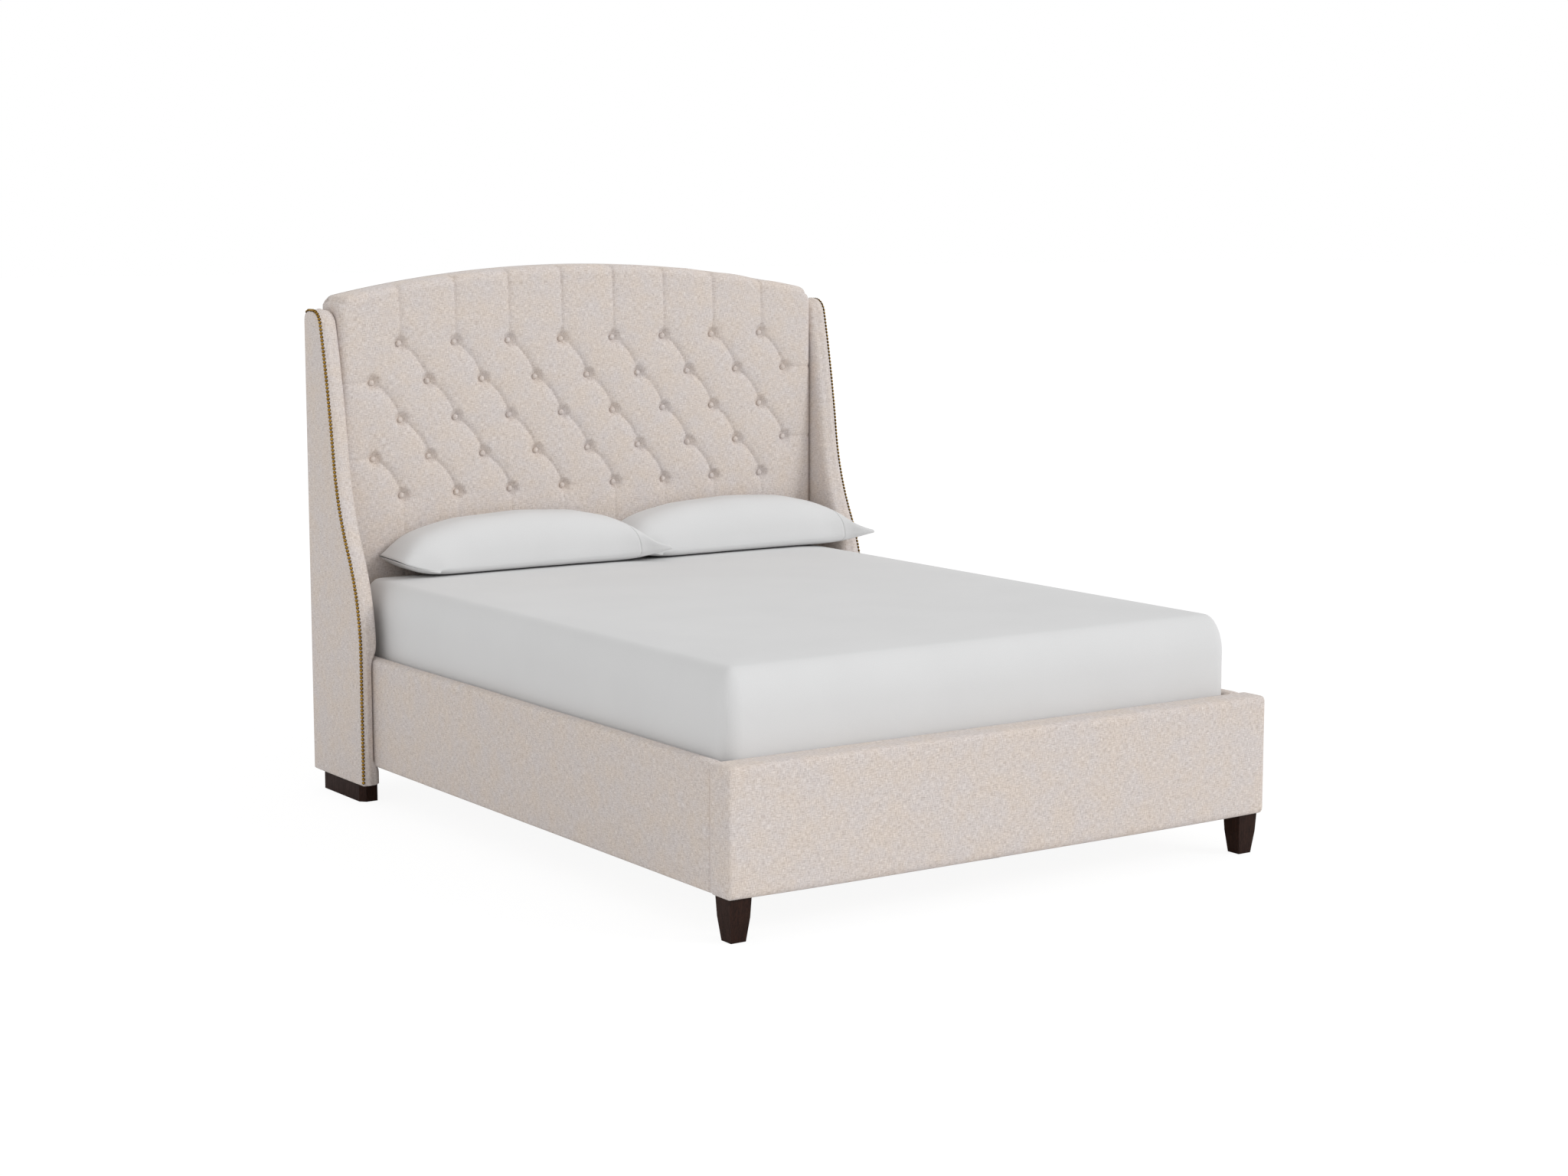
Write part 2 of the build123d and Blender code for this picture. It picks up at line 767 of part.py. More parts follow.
def front_foot_place():
    across = footboard_half - front_foot_side_inset - front_foot_top / 2
    return across, foot_face + front_foot_front_inset + front_foot_top / 2


def make_front_foot():
    """A tapered foot that narrows more in its lower half."""
    middle = front_foot_place()
    half_height = frame_bottom / 2
    waist = front_foot_top - (front_foot_top - front_foot_bottom) * front_foot_swell_share
    low = frustum(4, front_foot_bottom / 2, waist / 2, half_height)
    high = frustum(4, waist / 2, front_foot_top / 2, half_height)
    return Pos(*middle, 0) * (low + Pos(0, 0, half_height) * high)


# Studs hold the feet; long bolts hold the wings to the posts
def foot_stud_places():
    """X, Y and joint height of every stud on the right side."""
    wing_back = head_face - wing_foot_back
    wing_x = wing_board_inner + (wing_outer - wing_foot_side_inset - wing_board_inner) / 2
    places = [(*front_foot_place(), frame_bottom)]
    for share in wing_stud_place_shares:
        places.append((wing_x, wing_back - share * wing_foot_length, wing_bottom))
    return places


def foot_studs(radius, length):
    return [bar((x, y, z - length / 2), (0, 0, 1), length, radius) for x, y, z in foot_stud_places()]


def make_foot_studs():
    studs = foot_studs(bolt_radius, stud_length)
    return studs + [mirrored(stud) for stud in studs]


def stud_holes():
    return foot_studs(bolt_radius + rest_gap, stud_length + rest_gap)


def wing_bolt_starts():
    """One bolt under the pad, and one in each of the two bays between the cross timbers."""
    depth = (frame_front + back_cover_front) / 2
    bays = (
        (cleat_bottom, pad_bottom),
        (pad_bottom, middle_rail_height - timber_height / 2),
        (middle_rail_height + timber_height / 2, arch_end - timber_height),
    )
    return [(timber_half, depth, (low + high) / 2) for low, high in bays]


def make_wing_bolts():
    length = wing_board_outer - timber_half - wing_skin
    bolts = [
        bar(start, (1, 0, 0), length, bolt_radius)
        + bar(start, (-1, 0, 0), bolt_head_height, bolt_head_radius, head_sides)
        for start in wing_bolt_starts()
    ]
    return bolts + [mirrored(bolt) for bolt in bolts]


def wing_bolt_holes():
    length = wing_board_outer - timber_half - wing_skin + rest_gap
    return [bar(start, (1, 0, 0), length, bolt_radius + rest_gap) for start in wing_bolt_starts()]


# Bedding
bedding_start = footboard_back + foot_gap + sheet_thickness


def make_foundation():
    return rounded_block(
        mattress_width / 2 - foundation_inset,
        (bedding_start + foundation_inset / 2, bedding_start + mattress_length - foundation_inset / 2),
        (foundation_bottom, foundation_top),
        mattress_corner_radius,
        foundation_edge_radius,
    )


def mattress_block(growth):
    return rounded_block(
        mattress_width / 2 + growth,
        (bedding_start - growth, bedding_start + mattress_length + growth),
        (mattress_bottom - growth, mattress_top + growth),
        mattress_corner_radius + growth,
        mattress_edge_radius + growth,
    )


def make_sheet():
    tuck = mattress_edge_radius + sheet_tuck
    window = block(
        (-mattress_width / 2 + tuck, mattress_width / 2 - tuck),
        (bedding_start + tuck, bedding_start + mattress_length - tuck),
        (sheet_bottom - overrun, mattress_bottom + rest_gap),
    )
    return mattress_block(sheet_thickness) - mattress_block(0) - window


def pillow_slice(x, shares, inset):
    """Corners of one slice: belly, rear below, rear above, the crown from rear to front, and the seam."""
    front, rear, base, seam, top, belly = shares
    wall = pad_front - pillow_head_gap - inset
    y_front = wall - front * pillow_depth + inset
    y_rear = wall - rear * pillow_depth
    ground = sheet_top + rest_gap + inset
    z_base = ground + base * pillow_height
    z_seam = ground + seam * pillow_height
    z_top = ground + top * pillow_height - 2 * inset
    crown = [
        (y_front + (y_rear - y_front) * run, z_seam + (z_top - z_seam) * rise)
        for run, rise in reversed(pillow_crown_shares)
    ]
    rear = [(y_front + belly * pillow_depth, z_base), (y_rear, z_base), (y_rear, z_top)]
    return [Vector(x, y, z) for y, z in (*rear, *crown, (y_front, z_seam))]


def faceted(slices):
    """A solid through slices with the same number of corners, skinned with triangles."""
    faces = [Face(Wire.make_polygon(corners)) for corners in (slices[0], slices[-1])]
    for near, far in zip(slices, slices[1:]):
        for index, corner in enumerate(near):
            after = (index + 1) % len(near)
            faces.append(Face(Wire.make_polygon([corner, near[after], far[after]])))
            faces.append(Face(Wire.make_polygon([corner, far[after], far[index]])))
    return Solid(Shell(faces))


def pillow_form(offset):
    """The outer form, from the open end of the case to the ear at its other end."""
    start = pillow_start + offset
    length = pillow_length
    return faceted([pillow_slice(start + place * length, shares, 0) for place, *shares in pillow_shares])


def pillow_core(offset, inset):
    """The stuffing, inside the outer form by the inset."""
    start = pillow_start + offset + inset
    length = pillow_length - 2 * inset
    sections = pillow_shares[pillow_core_sections]
    return faceted([pillow_slice(start + place * length, shares, inset) for place, *shares in sections])


def make_pillow(offset):
    return pillow_core(offset, pillow_wall + rest_gap)


def make_pillowcase(offset):
    return pillow_form(offset) - pillow_core(offset, pillow_wall)


# Every piece under the name of its file; pieces on the right are mirrored to make the left ones
def both_sides(name, body):
    return {"right_" + name: body, "left_" + name: mirrored(body)}


def make_pieces():
    wing_holes = wing_bolt_holes()
    all_wing_holes = wing_holes + [mirrored(hole) for hole in wing_holes]
    foot_holes = stud_holes()
    all_foot_holes = foot_holes + [mirrored(hole) for hole in foot_holes]
    plate_holes = all_bracket_holes()
    right_plate_holes = plate_holes[: len(plate_holes) // 2]
    front_board, back_board = make_footboard_boards()

    pieces = {
        "headboard_pad": make_pad() - all_wing_holes,
        "headboard_buttons": make_buttons(),
        "headboard_panel": make_headboard_panel(),
        "headboard_top_rail": make_top_rail(),
        "headboard_middle_rail": make_middle_rail(),
        "headboard_lower_board": make_lower_board() - plate_holes,
        "headboard_back_cover": make_back_cover(),
        "wing_bolts": make_wing_bolts(),
        "footboard_front_board": front_board,
        "footboard_back_board": back_board - plate_holes,
        "footboard_spacers": [piece - all_foot_holes for piece in make_footboard_spacers()],
        "footboard_cover": make_footboard_cover() - plate_holes,
        "foot_studs": make_foot_studs(),
        "bracket_bolts": make_bracket_bolts(),
        "centre_rail": make_centre_rail(),
        "centre_rail_hangers": [make_hanger(footboard_back, 1), make_hanger(lower_board_front, -1)],
        "slat_webbing": make_webbing(),
        "foundation": make_foundation(),
        "mattress": mattress_block(0),
        "fitted_sheet": make_sheet(),
        "left_pillow": make_pillow(0),
        "left_pillowcase": make_pillowcase(0),
        "right_pillow": make_pillow(pillow_offset),
        "right_pillowcase": make_pillowcase(pillow_offset),
    }
    pieces.update(both_sides("post", make_post() - wing_holes))
    pieces.update(both_sides("wing_frame", make_wing_frame() - wing_holes - foot_holes))
    pieces.update(both_sides("wing_cover", make_wing_cover() - wing_holes))
    pieces.update(both_sides("wing_foot", make_wing_foot() - foot_holes))
    pieces.update(both_sides("front_foot", make_front_foot() - foot_holes))
    pieces.update(both_sides("rail_board", make_rail_board() - right_plate_holes))
    pieces.update(both_sides("rail_cover", make_rail_cover()))
    pieces.update(both_sides("slat_cleat", make_cleat()))
    pieces.update(both_sides("foot_bracket", make_bracket(footboard_back, 1)))
    pieces.update(both_sides("head_bracket", make_bracket(lower_board_front, -1)))
    for index in range(slat_count):
        pieces[f"slat_{index + 1:02d}"] = make_slat(index)
    for name, share in leg_place_shares.items():
        pieces[name + "_centre_leg"] = make_centre_leg(share)
        pieces[name + "_glide"] = make_glide(share)
    return pieces


if __name__ == "__main__":
    os.makedirs("parts", exist_ok=True)
    for name, body in make_pieces().items():
        pieces = body if isinstance(body, list) else [body]
        solids = [solid for piece in pieces for solid in piece.solids()]
        export_step(Compound(children=solids), f"parts/{name}.step")
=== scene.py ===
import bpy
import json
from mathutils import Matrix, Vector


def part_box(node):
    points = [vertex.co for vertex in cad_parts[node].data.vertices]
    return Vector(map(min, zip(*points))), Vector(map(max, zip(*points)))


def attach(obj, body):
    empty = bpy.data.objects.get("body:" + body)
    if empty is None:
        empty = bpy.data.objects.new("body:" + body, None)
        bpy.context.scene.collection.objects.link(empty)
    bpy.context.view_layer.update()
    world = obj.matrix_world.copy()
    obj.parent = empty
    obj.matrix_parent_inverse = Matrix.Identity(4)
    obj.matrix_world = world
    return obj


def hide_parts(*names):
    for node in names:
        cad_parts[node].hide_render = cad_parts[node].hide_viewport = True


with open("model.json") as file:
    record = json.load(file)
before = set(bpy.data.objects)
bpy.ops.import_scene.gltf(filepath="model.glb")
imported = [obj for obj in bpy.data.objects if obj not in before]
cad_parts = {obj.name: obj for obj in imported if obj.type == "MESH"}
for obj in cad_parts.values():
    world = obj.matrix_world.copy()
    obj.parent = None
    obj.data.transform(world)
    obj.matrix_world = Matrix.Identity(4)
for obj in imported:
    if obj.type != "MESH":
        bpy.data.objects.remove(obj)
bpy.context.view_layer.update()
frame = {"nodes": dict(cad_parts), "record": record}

import json
import math

import bmesh
import bpy
import numpy as np

# Camera: solved from the buttons, feet, rails and nail lines of the photograph, which is taken from the
# left of the foot at eye level.
scene = bpy.context.scene
camera = bpy.data.objects.new("camera", bpy.data.cameras.new("camera"))
scene.collection.objects.link(camera)
scene.camera = camera
camera.data.sensor_width = 36
camera.data.lens = 63.44
camera.data.clip_end = 200
camera.location = (-4.326, -6.456, 1.739)
camera.rotation_euler = [math.radians(angle) for angle in (82.13, 0, -34.15)]


# Light and floor: an even white studio with one wide soft lamp on the right in front of the bed and a faint
# one on the left. They light the foot end and the sides of the tufts and leave the left in mild shade. The
# floor is white to the camera but for the bed's soft shadow, and to the bed it is plain light grey.
def linear(code):
    """A colour written as hex sRGB, as the linear values that the shaders take."""
    values = np.array([int(code[place:place + 2], 16) for place in (1, 3, 5)]) / 255
    return (*np.where(values <= 0.04045, values / 12.92, ((values + 0.055) / 1.055) ** 2.4), 1)


def add_node(tree, kind, inputs=None, **settings):
    """A shader node with its settings. An input is a value, a socket, or a node, linked from its output."""
    node = tree.nodes.new("ShaderNode" + kind)
    for name, value in settings.items():
        setattr(node, name, value)
    for name, value in (inputs or {}).items():
        if isinstance(value, bpy.types.Node):
            value = value.outputs[0]
        if isinstance(value, bpy.types.NodeSocket):
            tree.links.new(value, node.inputs[name])
        else:
            node.inputs[name].default_value = value
    return node


def maths(tree, operation, *values):
    """A Math node on its values."""
    return add_node(tree, "Math", dict(enumerate(values)), operation=operation)


def empty_tree(owner):
    """The node tree of a material or of the world, cleared."""
    owner.use_nodes = True
    owner.node_tree.nodes.clear()
    return owner.node_tree


def new_material(name):
    """A material and its empty node tree."""
    material = bpy.data.materials.new(name)
    return material, empty_tree(material)


scene.view_settings.view_transform = "Standard"
sky_strength = 0.74
scene.world = bpy.data.worlds.new("studio")
tree = empty_tree(scene.world)
path = add_node(tree, "LightPath").outputs
seen = maths(tree, "MAXIMUM", path["Is Camera Ray"], path["Is Glossy Ray"])
seen = maths(tree, "MAXIMUM", seen, path["Is Transmission Ray"])
sky = add_node(tree, "Background", {"Color": linear("#FFFFFF"), "Strength": sky_strength})
white = add_node(tree, "Background", {"Color": linear("#FFFFFF"), "Strength": 1})
mixed = add_node(tree, "MixShader", {0: seen, 1: sky, 2: white})
add_node(tree, "OutputWorld", {"Surface": mixed})

lamps = (("key_light", "#FDFEFF", 1.08, 20, (60, 0, 42)), ("fill_light", "#FFFFFF", 0.26, 70, (72, 0, -68)))
for name, tone, energy, width, turn in lamps:
    lamp = bpy.data.objects.new(name, bpy.data.lights.new(name, "SUN"))
    lamp.data.energy = energy
    lamp.data.color = linear(tone)[:3]
    lamp.data.angle = math.radians(width)
    lamp.rotation_euler = [math.radians(angle) for angle in turn]
    scene.collection.objects.link(lamp)

floor_width, floor_level = 120, -0.0004
floor_glow, shadow_tone = 0.92, (0.115, 0.115, 0.115, 1)
bpy.ops.mesh.primitive_plane_add(size=floor_width, location=(0, 0, floor_level))
floor = bpy.context.object
floor.name = "floor"
floor_material, tree = new_material("studio_floor")
floor.data.materials.append(floor_material)
path = add_node(tree, "LightPath").outputs
glow = add_node(tree, "Emission", {"Color": linear("#FFFFFF"), "Strength": floor_glow})
shadow_catch = add_node(tree, "BsdfDiffuse", {"Color": shadow_tone})
shown = add_node(tree, "AddShader", {0: glow, 1: shadow_catch})
bounce = add_node(tree, "BsdfDiffuse", {"Color": linear("#F2F2F2")})
mixed = add_node(tree, "MixShader", {0: path["Is Camera Ray"], 1: bounce, 2: shown})
add_node(tree, "OutputMaterial", {"Surface": mixed})


# Headboard pad: a thick foam slab under linen, pulled in by 42 buttons on a diamond lattice. The creases
# that fall to the right are sharp folds, bowed upwards; the others are soft. Fine pleats run from the outer
# buttons over the rolled edges, and the cloth is fixed behind the frame. A fold is written as pairs of
# depth and sharpness.
MM = 0.001


def node_box(name):
    """A node's lowest and highest corners at rest, in millimetres."""
    return [np.array(corner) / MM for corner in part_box(name)]


def grid_faces(rows, columns, wrap=False):
    """Quads of a grid of points, kept row after row; wrap joins its last column to its first."""
    row, column = np.mgrid[0:rows - 1, 0:columns if wrap else columns - 1]
    here = row * columns + column
    after = row * columns + (column + 1) % columns
    return np.stack([here, after, after + columns, here + columns], -1).reshape(-1, 4).tolist()


def tube_faces(rings, around):
    """Quads of rings of points one after another, and a face that closes each end."""
    ends = [list(range(around))[::-1], list(range((rings - 1) * around, rings * around))]
    return grid_faces(rings, around, wrap=True) + ends


def make_piece(name, points, faces, material, body="bed_frame", slot="linen_cover"):
    """An object from points in millimetres, with doubles merged, faces outwards, and attached to its body;
    the slot argument is not used.
    """
    merge_gap, least_edge = 0.00002, 0.00001
    mesh = bpy.data.meshes.new(name)
    mesh.from_pydata((np.reshape(points, (-1, 3)) * MM).tolist(), [], faces)
    work = bmesh.new()
    work.from_mesh(mesh)
    bmesh.ops.remove_doubles(work, verts=work.verts, dist=merge_gap)
    bmesh.ops.dissolve_degenerate(work, edges=work.edges, dist=least_edge)
    bmesh.ops.recalc_face_normals(work, faces=work.faces)
    centre = np.array([face.calc_center_median() for face in work.faces])
    normal = np.array([face.normal * face.calc_area() for face in work.faces])
    if ((centre - centre.mean(0)) * normal).sum() < 0:
        bmesh.ops.reverse_faces(work, faces=work.faces)
    work.to_mesh(mesh)
    work.free()
    mesh.shade_smooth()
    mesh.materials.append(material)
    piece = bpy.data.objects.new(name, mesh)
    scene.collection.objects.link(piece)
    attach(piece, body)
    return piece


def thread_place(tree):
    """The place, and two coordinates along the threads: the object axes that a face doesn't look along."""
    place = add_node(tree, "TexCoord").outputs["Object"]
    x, y, z = add_node(tree, "SeparateXYZ", {0: place}).outputs
    normal = add_node(tree, "NewGeometry").outputs["Normal"]
    facing = add_node(tree, "VectorMath", {0: normal}, operation="ABSOLUTE")
    nx, ny, nz = add_node(tree, "SeparateXYZ", {0: facing}).outputs
    is_side = maths(tree, "GREATER_THAN", nx, maths(tree, "MAXIMUM", ny, nz))
    is_top = maths(tree, "GREATER_THAN", nz, maths(tree, "MAXIMUM", nx, ny))
    across = add_node(tree, "Mix", {0: is_side, 2: x, 3: y})
    along = add_node(tree, "Mix", {0: is_top, 2: z, 3: y})
    return place, across, along


def noise(tree, place, scale, detail, roughness=0.5, distortion=0):
    """Cloudy noise, with its scale in marks a metre."""
    inputs = {"Vector": place, "Scale": scale, "Detail": detail, "Roughness": roughness}
    return add_node(tree, "TexNoise", {**inputs, "Distortion": distortion})


def streaks(tree, across, along, across_scale, along_scale, detail=2):
    """Noise stretched along one thread direction; each scale is in marks a metre."""
    flat = add_node(tree, "CombineXYZ", {0: across, 1: along})
    scales = (across_scale, along_scale, 1)
    scaled = add_node(tree, "VectorMath", {0: flat, 1: scales}, operation="MULTIPLY")
    return noise(tree, scaled, 1, detail, 0.6)


def woven(tree, across, along, long_scale, short_scale, detail=2):
    """Weft and warp: streaks one way and the other way, added."""
    weft = streaks(tree, across, along, long_scale, short_scale, detail)
    warp = streaks(tree, across, along, short_scale, long_scale, detail)
    return maths(tree, "ADD", weft, warp)


def spread(tree, value, low, high, to_low=0, to_high=1):
    """The value's range between low and high, stretched to another range and cut off there."""
    return add_node(tree, "MapRange", {0: value, 1: low, 2: high, 3: to_low, 4: to_high})


def blended(tree, share, first, second):
    """A colour between two others, each a hex code or a socket."""
    first, second = (linear(tone) if isinstance(tone, str) else tone for tone in (first, second))
    return add_node(tree, "Mix", {0: share, 6: first, 7: second}, data_type="RGBA").outputs[2]


def bump(tree, height, strength, distance, under=None):
    """The normal tilted by a height; the distance is in metres, and under is a coarser bump it lies on."""
    inputs = {"Height": height, "Strength": strength, "Distance": distance}
    if under is not None:
        inputs["Normal"] = under
    return add_node(tree, "Bump", inputs)


def shaded(material, inputs):
    """The material, finished by a Principled shader with these inputs."""
    shader = add_node(material.node_tree, "BsdfPrincipled", inputs)
    add_node(material.node_tree, "OutputMaterial", {"Surface": shader})
    return material


def make_linen():
    """Pinkish beige linen. Uneven threads both ways give a fine cross hatch with darker slubs, wide soft
    blotches shift it between grey and warm beige, and a little sheen lightens it where it turns away.
    The threads are drawn about 1.8 mm apart, three times as coarse as real ones, which would only blur."""
    material, tree = new_material("linen")
    place, across, along = thread_place(tree)
    threads = woven(tree, across, along, 70, 560)
    slub = streaks(tree, across, along, 50, 420, detail=1)
    blotch = noise(tree, place, 13, 4, 0.62)
    ground = blended(tree, spread(tree, blotch, 0.36, 0.64), "#D5C7BA", "#CFC8C6")
    thread_tone = blended(tree, spread(tree, threads, 0.72, 1.28), "#A09188", "#F9F1EC")
    cloth = blended(tree, 0.5, ground, thread_tone)
    return shaded(material, {
        "Base Color": blended(tree, spread(tree, slub, 0.6, 0.74, 0, 0.4), cloth, "#9A8880"),
        "Normal": bump(tree, threads, 0.5, 0.0005), "Roughness": 0.95, "Specular IOR Level": 0.15,
        "Sheen Weight": 0.12, "Sheen Roughness": 0.5,
    })


linen = make_linen()
pad_low, pad_high = node_box("headboard_pad")
pad_half = pad_high[0]
pad_front, pad_back = pad_low[1], pad_high[1]
pad_bottom, pad_top = pad_low[2], pad_high[2]
arch_rise = 89
pad_roll, bottom_radius = 27, 10
shoulder_radius, front_shoulder_gain = 32, 22
foam_depth = 42
panel_front = pad_front + foam_depth
button_pitch, row_pitch = 184, 113.6
button_rows = (8, 9, 8, 9, 8)
first_row = 1334
last_row = first_row - (len(button_rows) - 1) * row_pitch
outer_button = (max(button_rows) - 1) / 2 * button_pitch
button_seat, seat_radius, seat_slope = 20, 27, 18
button_places = np.array([
    ((index - (count - 1) / 2) * button_pitch, first_row - row * row_pitch)
    for row, count in enumerate(button_rows) for index in range(count)
])
lattice_fade, pad_drift = 36, 0.5
fold_bow, soft_round = 0.1, 0.1
sharp_fold, soft_fold = ((2, 1.4), (6, 5)), ((3.4, 2.4),)
crease, top_pleat = ((3.5, 28),), ((5, 1.6), (5, 9))
gather_depth, gather_radius, gather_width = 0.55, 26, 11
gather_lobes, finer_lobes, finer_share = 6, 11, 0.7
chance = np.random.default_rng(7)


def arch_height(x):
    """Top of the pad: z = top - R + sqrt(R^2 - x^2), with R from the arch's rise over half its width."""
    radius = (pad_half**2 + arch_rise**2) / (2 * arch_rise)
    return pad_top - radius + np.sqrt(radius**2 - np.clip(x, -pad_half, pad_half) ** 2)


def round_shoulders(x, z, radius):
    """Rounds the two upper corners: a point m past the corner's start each way is pulled in by max / |m|."""
    past_x = np.maximum(np.abs(x) - pad_half + radius, 0)
    past_z = np.maximum(z - arch_height(x) + radius, 0)
    pull = np.maximum(past_x, past_z) / np.maximum(np.hypot(past_x, past_z), 1e-6)
    pull = np.where((past_x > 0) & (past_z > 0), pull, 1)
    return x - np.sign(x) * past_x * (1 - pull), z - past_z * (1 - pull)


def eased(value):
    """A share cut off at 0 and 1, with soft ends: 3 v^2 - 2 v^3."""
    value = np.clip(value, 0, 1)
    return value * value * (3 - 2 * value)


def hump(value, width):
    """A bell e^-(v / w)^2."""
    return np.exp(-((value / width) ** 2))


def drift(first, second, lengths, start, share):
    """Slow unevenness of padding: sin(p / a + start) sin(q / b) + share sin(p / c + q / d)."""
    a, b, c, d = lengths
    return np.sin(first / a + start) * np.sin(second / b) + share * np.sin(first / c + second / d)


def fold(edge, shape):
    """Depth of a fold: the sum of a (1 - e)^n over its pairs of depth a and sharpness n."""
    return sum(depth * (1 - edge) ** sharpness for depth, sharpness in shape)


def tuft_depth(x, z):
    """Depth of the cloth under its crown, in mm.

    With s = x / p + r and t = x / p - r - bow, where r counts rows down by halves, buttons lie where both
    are whole numbers and a half. e is 0 on a fold and 1 on a crown, along t for the sharp folds and along s
    for the soft ones, whose e is rounded off; the bow is b |sin(pi (s - 1/2))|^0.8. Outside the outer
    buttons s and t stay as they are there, so that the folds run on as straight pleats: the lattice fades,
    the fine crease stays, and over the first row deeper pleats grow. Gathers ring each button's seat."""
    inner_x = np.clip(x, -outer_button, outer_button)
    row = np.clip((first_row - z) / (2 * row_pitch), 0, (len(button_rows) - 1) / 2)
    outside = np.maximum.reduce([np.abs(x) - outer_button, z - first_row, last_row - z, 0 * x])
    near = hump(outside, lattice_fade)
    above = np.clip((z - first_row) / (arch_height(x) - first_row), 0, 1)
    s = inner_x / button_pitch + row
    t = inner_x / button_pitch - row - fold_bow * near * np.abs(np.sin(math.pi * (s - 0.5))) ** 0.8
    sharp = 2 * np.abs(t - np.floor(t) - 0.5)
    soft = 2 * np.abs(s - np.floor(s) - 0.5)
    soft = np.clip(np.sqrt(soft**2 + soft_round**2) - soft_round / 2, 0, 1)
    depth = near * (fold(sharp, sharp_fold) + fold(soft, soft_fold))
    depth += fold(sharp, crease) + above * fold(sharp, top_pleat)
    for centre_x, centre_z in button_places:
        away_x, away_z = x - centre_x, z - centre_z
        away = np.hypot(away_x, away_z)
        turn = np.arctan2(away_z, away_x)
        lean = chance.uniform(0, 2 * math.pi)
        gather = gather_depth * hump(away - gather_radius, gather_width)
        waves = np.cos(gather_lobes * turn + lean) + finer_share * np.cos(finer_lobes * turn + 2 * lean)
        depth += gather * waves
        seat = eased((seat_radius - away) / seat_slope)
        depth = depth * (1 - seat) + button_seat * seat
    return depth + pad_drift * drift(x, z, (131, 97, 47, 61), 0.7, 0.6) * (0.3 + 0.7 * near)


def make_pad():
    """A flat grid whose margins are rolled back: a and b are how far a point lies past the flat part across
    and upwards, d = max(a, b) is how far round the roll it is, and b / a gives its direction in a corner.
    The folds fade out round the roll. Behind it the rim goes in as a hem, which a flat face closes."""
    flat_columns, flat_rows, roll_steps = 470, 290, 10
    low_shares, first_share = [0, 0.002, 0.005, 0.009], 0.014
    straight_steps = (14, 34, 60)
    full_fold_share = 0.8
    hem_side, hem_drop = 3, 25
    flat_half = pad_half - pad_roll
    quarter = math.pi / 2 * pad_roll
    straight = np.array([*straight_steps, pad_back - pad_front - pad_roll])
    past = np.concatenate([np.linspace(0, quarter, roll_steps)[1:], quarter + straight])
    across = np.linspace(-flat_half, flat_half, flat_columns)
    across = np.concatenate([-(flat_half + past)[::-1], across, flat_half + past])
    share = np.concatenate([low_shares, np.linspace(first_share, 1, flat_rows)])
    up_share = np.concatenate([share, np.ones(past.size)])[:, None]
    b = np.concatenate([0 * share, past])[:, None] + 0 * across
    side = np.sign(across)
    a = np.maximum(np.abs(across) - flat_half, 0) + 0 * b
    x_flat = np.clip(across, -flat_half, flat_half) + 0 * b
    z_flat = pad_bottom + up_share * (arch_height(x_flat) - pad_roll - pad_bottom)
    d = np.maximum(a, b)
    corner = math.pi / 4 * np.minimum(a, b) / np.maximum(d, 1e-9)
    direction = np.where(a >= b, corner, math.pi / 2 - corner)
    sideways, upwards = np.cos(direction), np.sin(direction)
    turn = np.minimum(d / pad_roll, math.pi / 2)
    reach = pad_roll * np.sin(turn)
    back = pad_roll * (1 - np.cos(turn)) + np.maximum(d - quarter, 0)
    over_curl = np.clip(bottom_radius - (z_flat - pad_bottom), 0, bottom_radius)
    curl = bottom_radius - np.sqrt(np.clip(bottom_radius**2 - over_curl**2, 0, bottom_radius**2))
    fade = np.clip(1 - np.maximum(d - full_fold_share * quarter, 0) / quarter, 0, 1)
    depth = tuft_depth(x_flat + side * a, z_flat + b) * fade
    reach -= np.sin(turn) * depth
    x = x_flat + side * reach * sideways
    y = pad_front + back + curl + np.cos(turn) * depth
    z = z_flat + reach * upwards
    forward = np.clip((panel_front - y) / foam_depth, 0, 1)
    x, z = round_shoulders(x, z, shoulder_radius + front_shoulder_gain * forward)
    points = np.stack([x, y, z], -1).reshape(-1, 3)
    rows, columns = d.shape
    numbers = np.arange(rows * columns).reshape(rows, columns)
    rim = np.concatenate([numbers[0], numbers[1:, -1], numbers[-1, -2::-1], numbers[-2:0:-1, 0]])
    hem = points[rim]
    hem[:, 0] = np.clip(hem[:, 0], -pad_half + hem_side, pad_half - hem_side)
    hem[:, 2] = np.minimum(hem[:, 2], arch_height(hem[:, 0]) - hem_drop)
    inside = hem.copy()
    inside[:, 1] = panel_front
    rings = np.concatenate([rim, rows * columns + np.arange(2 * rim.size)])
    faces = grid_faces(rows, columns) + rings[grid_faces(3, rim.size, wrap=True)].tolist()
    faces.append(rings[-rim.size:].tolist())
    return np.concatenate([points, hem, inside]), faces


headboard_pad = make_piece("tufted_pad", *make_pad(), linen)
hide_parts("headboard_pad")


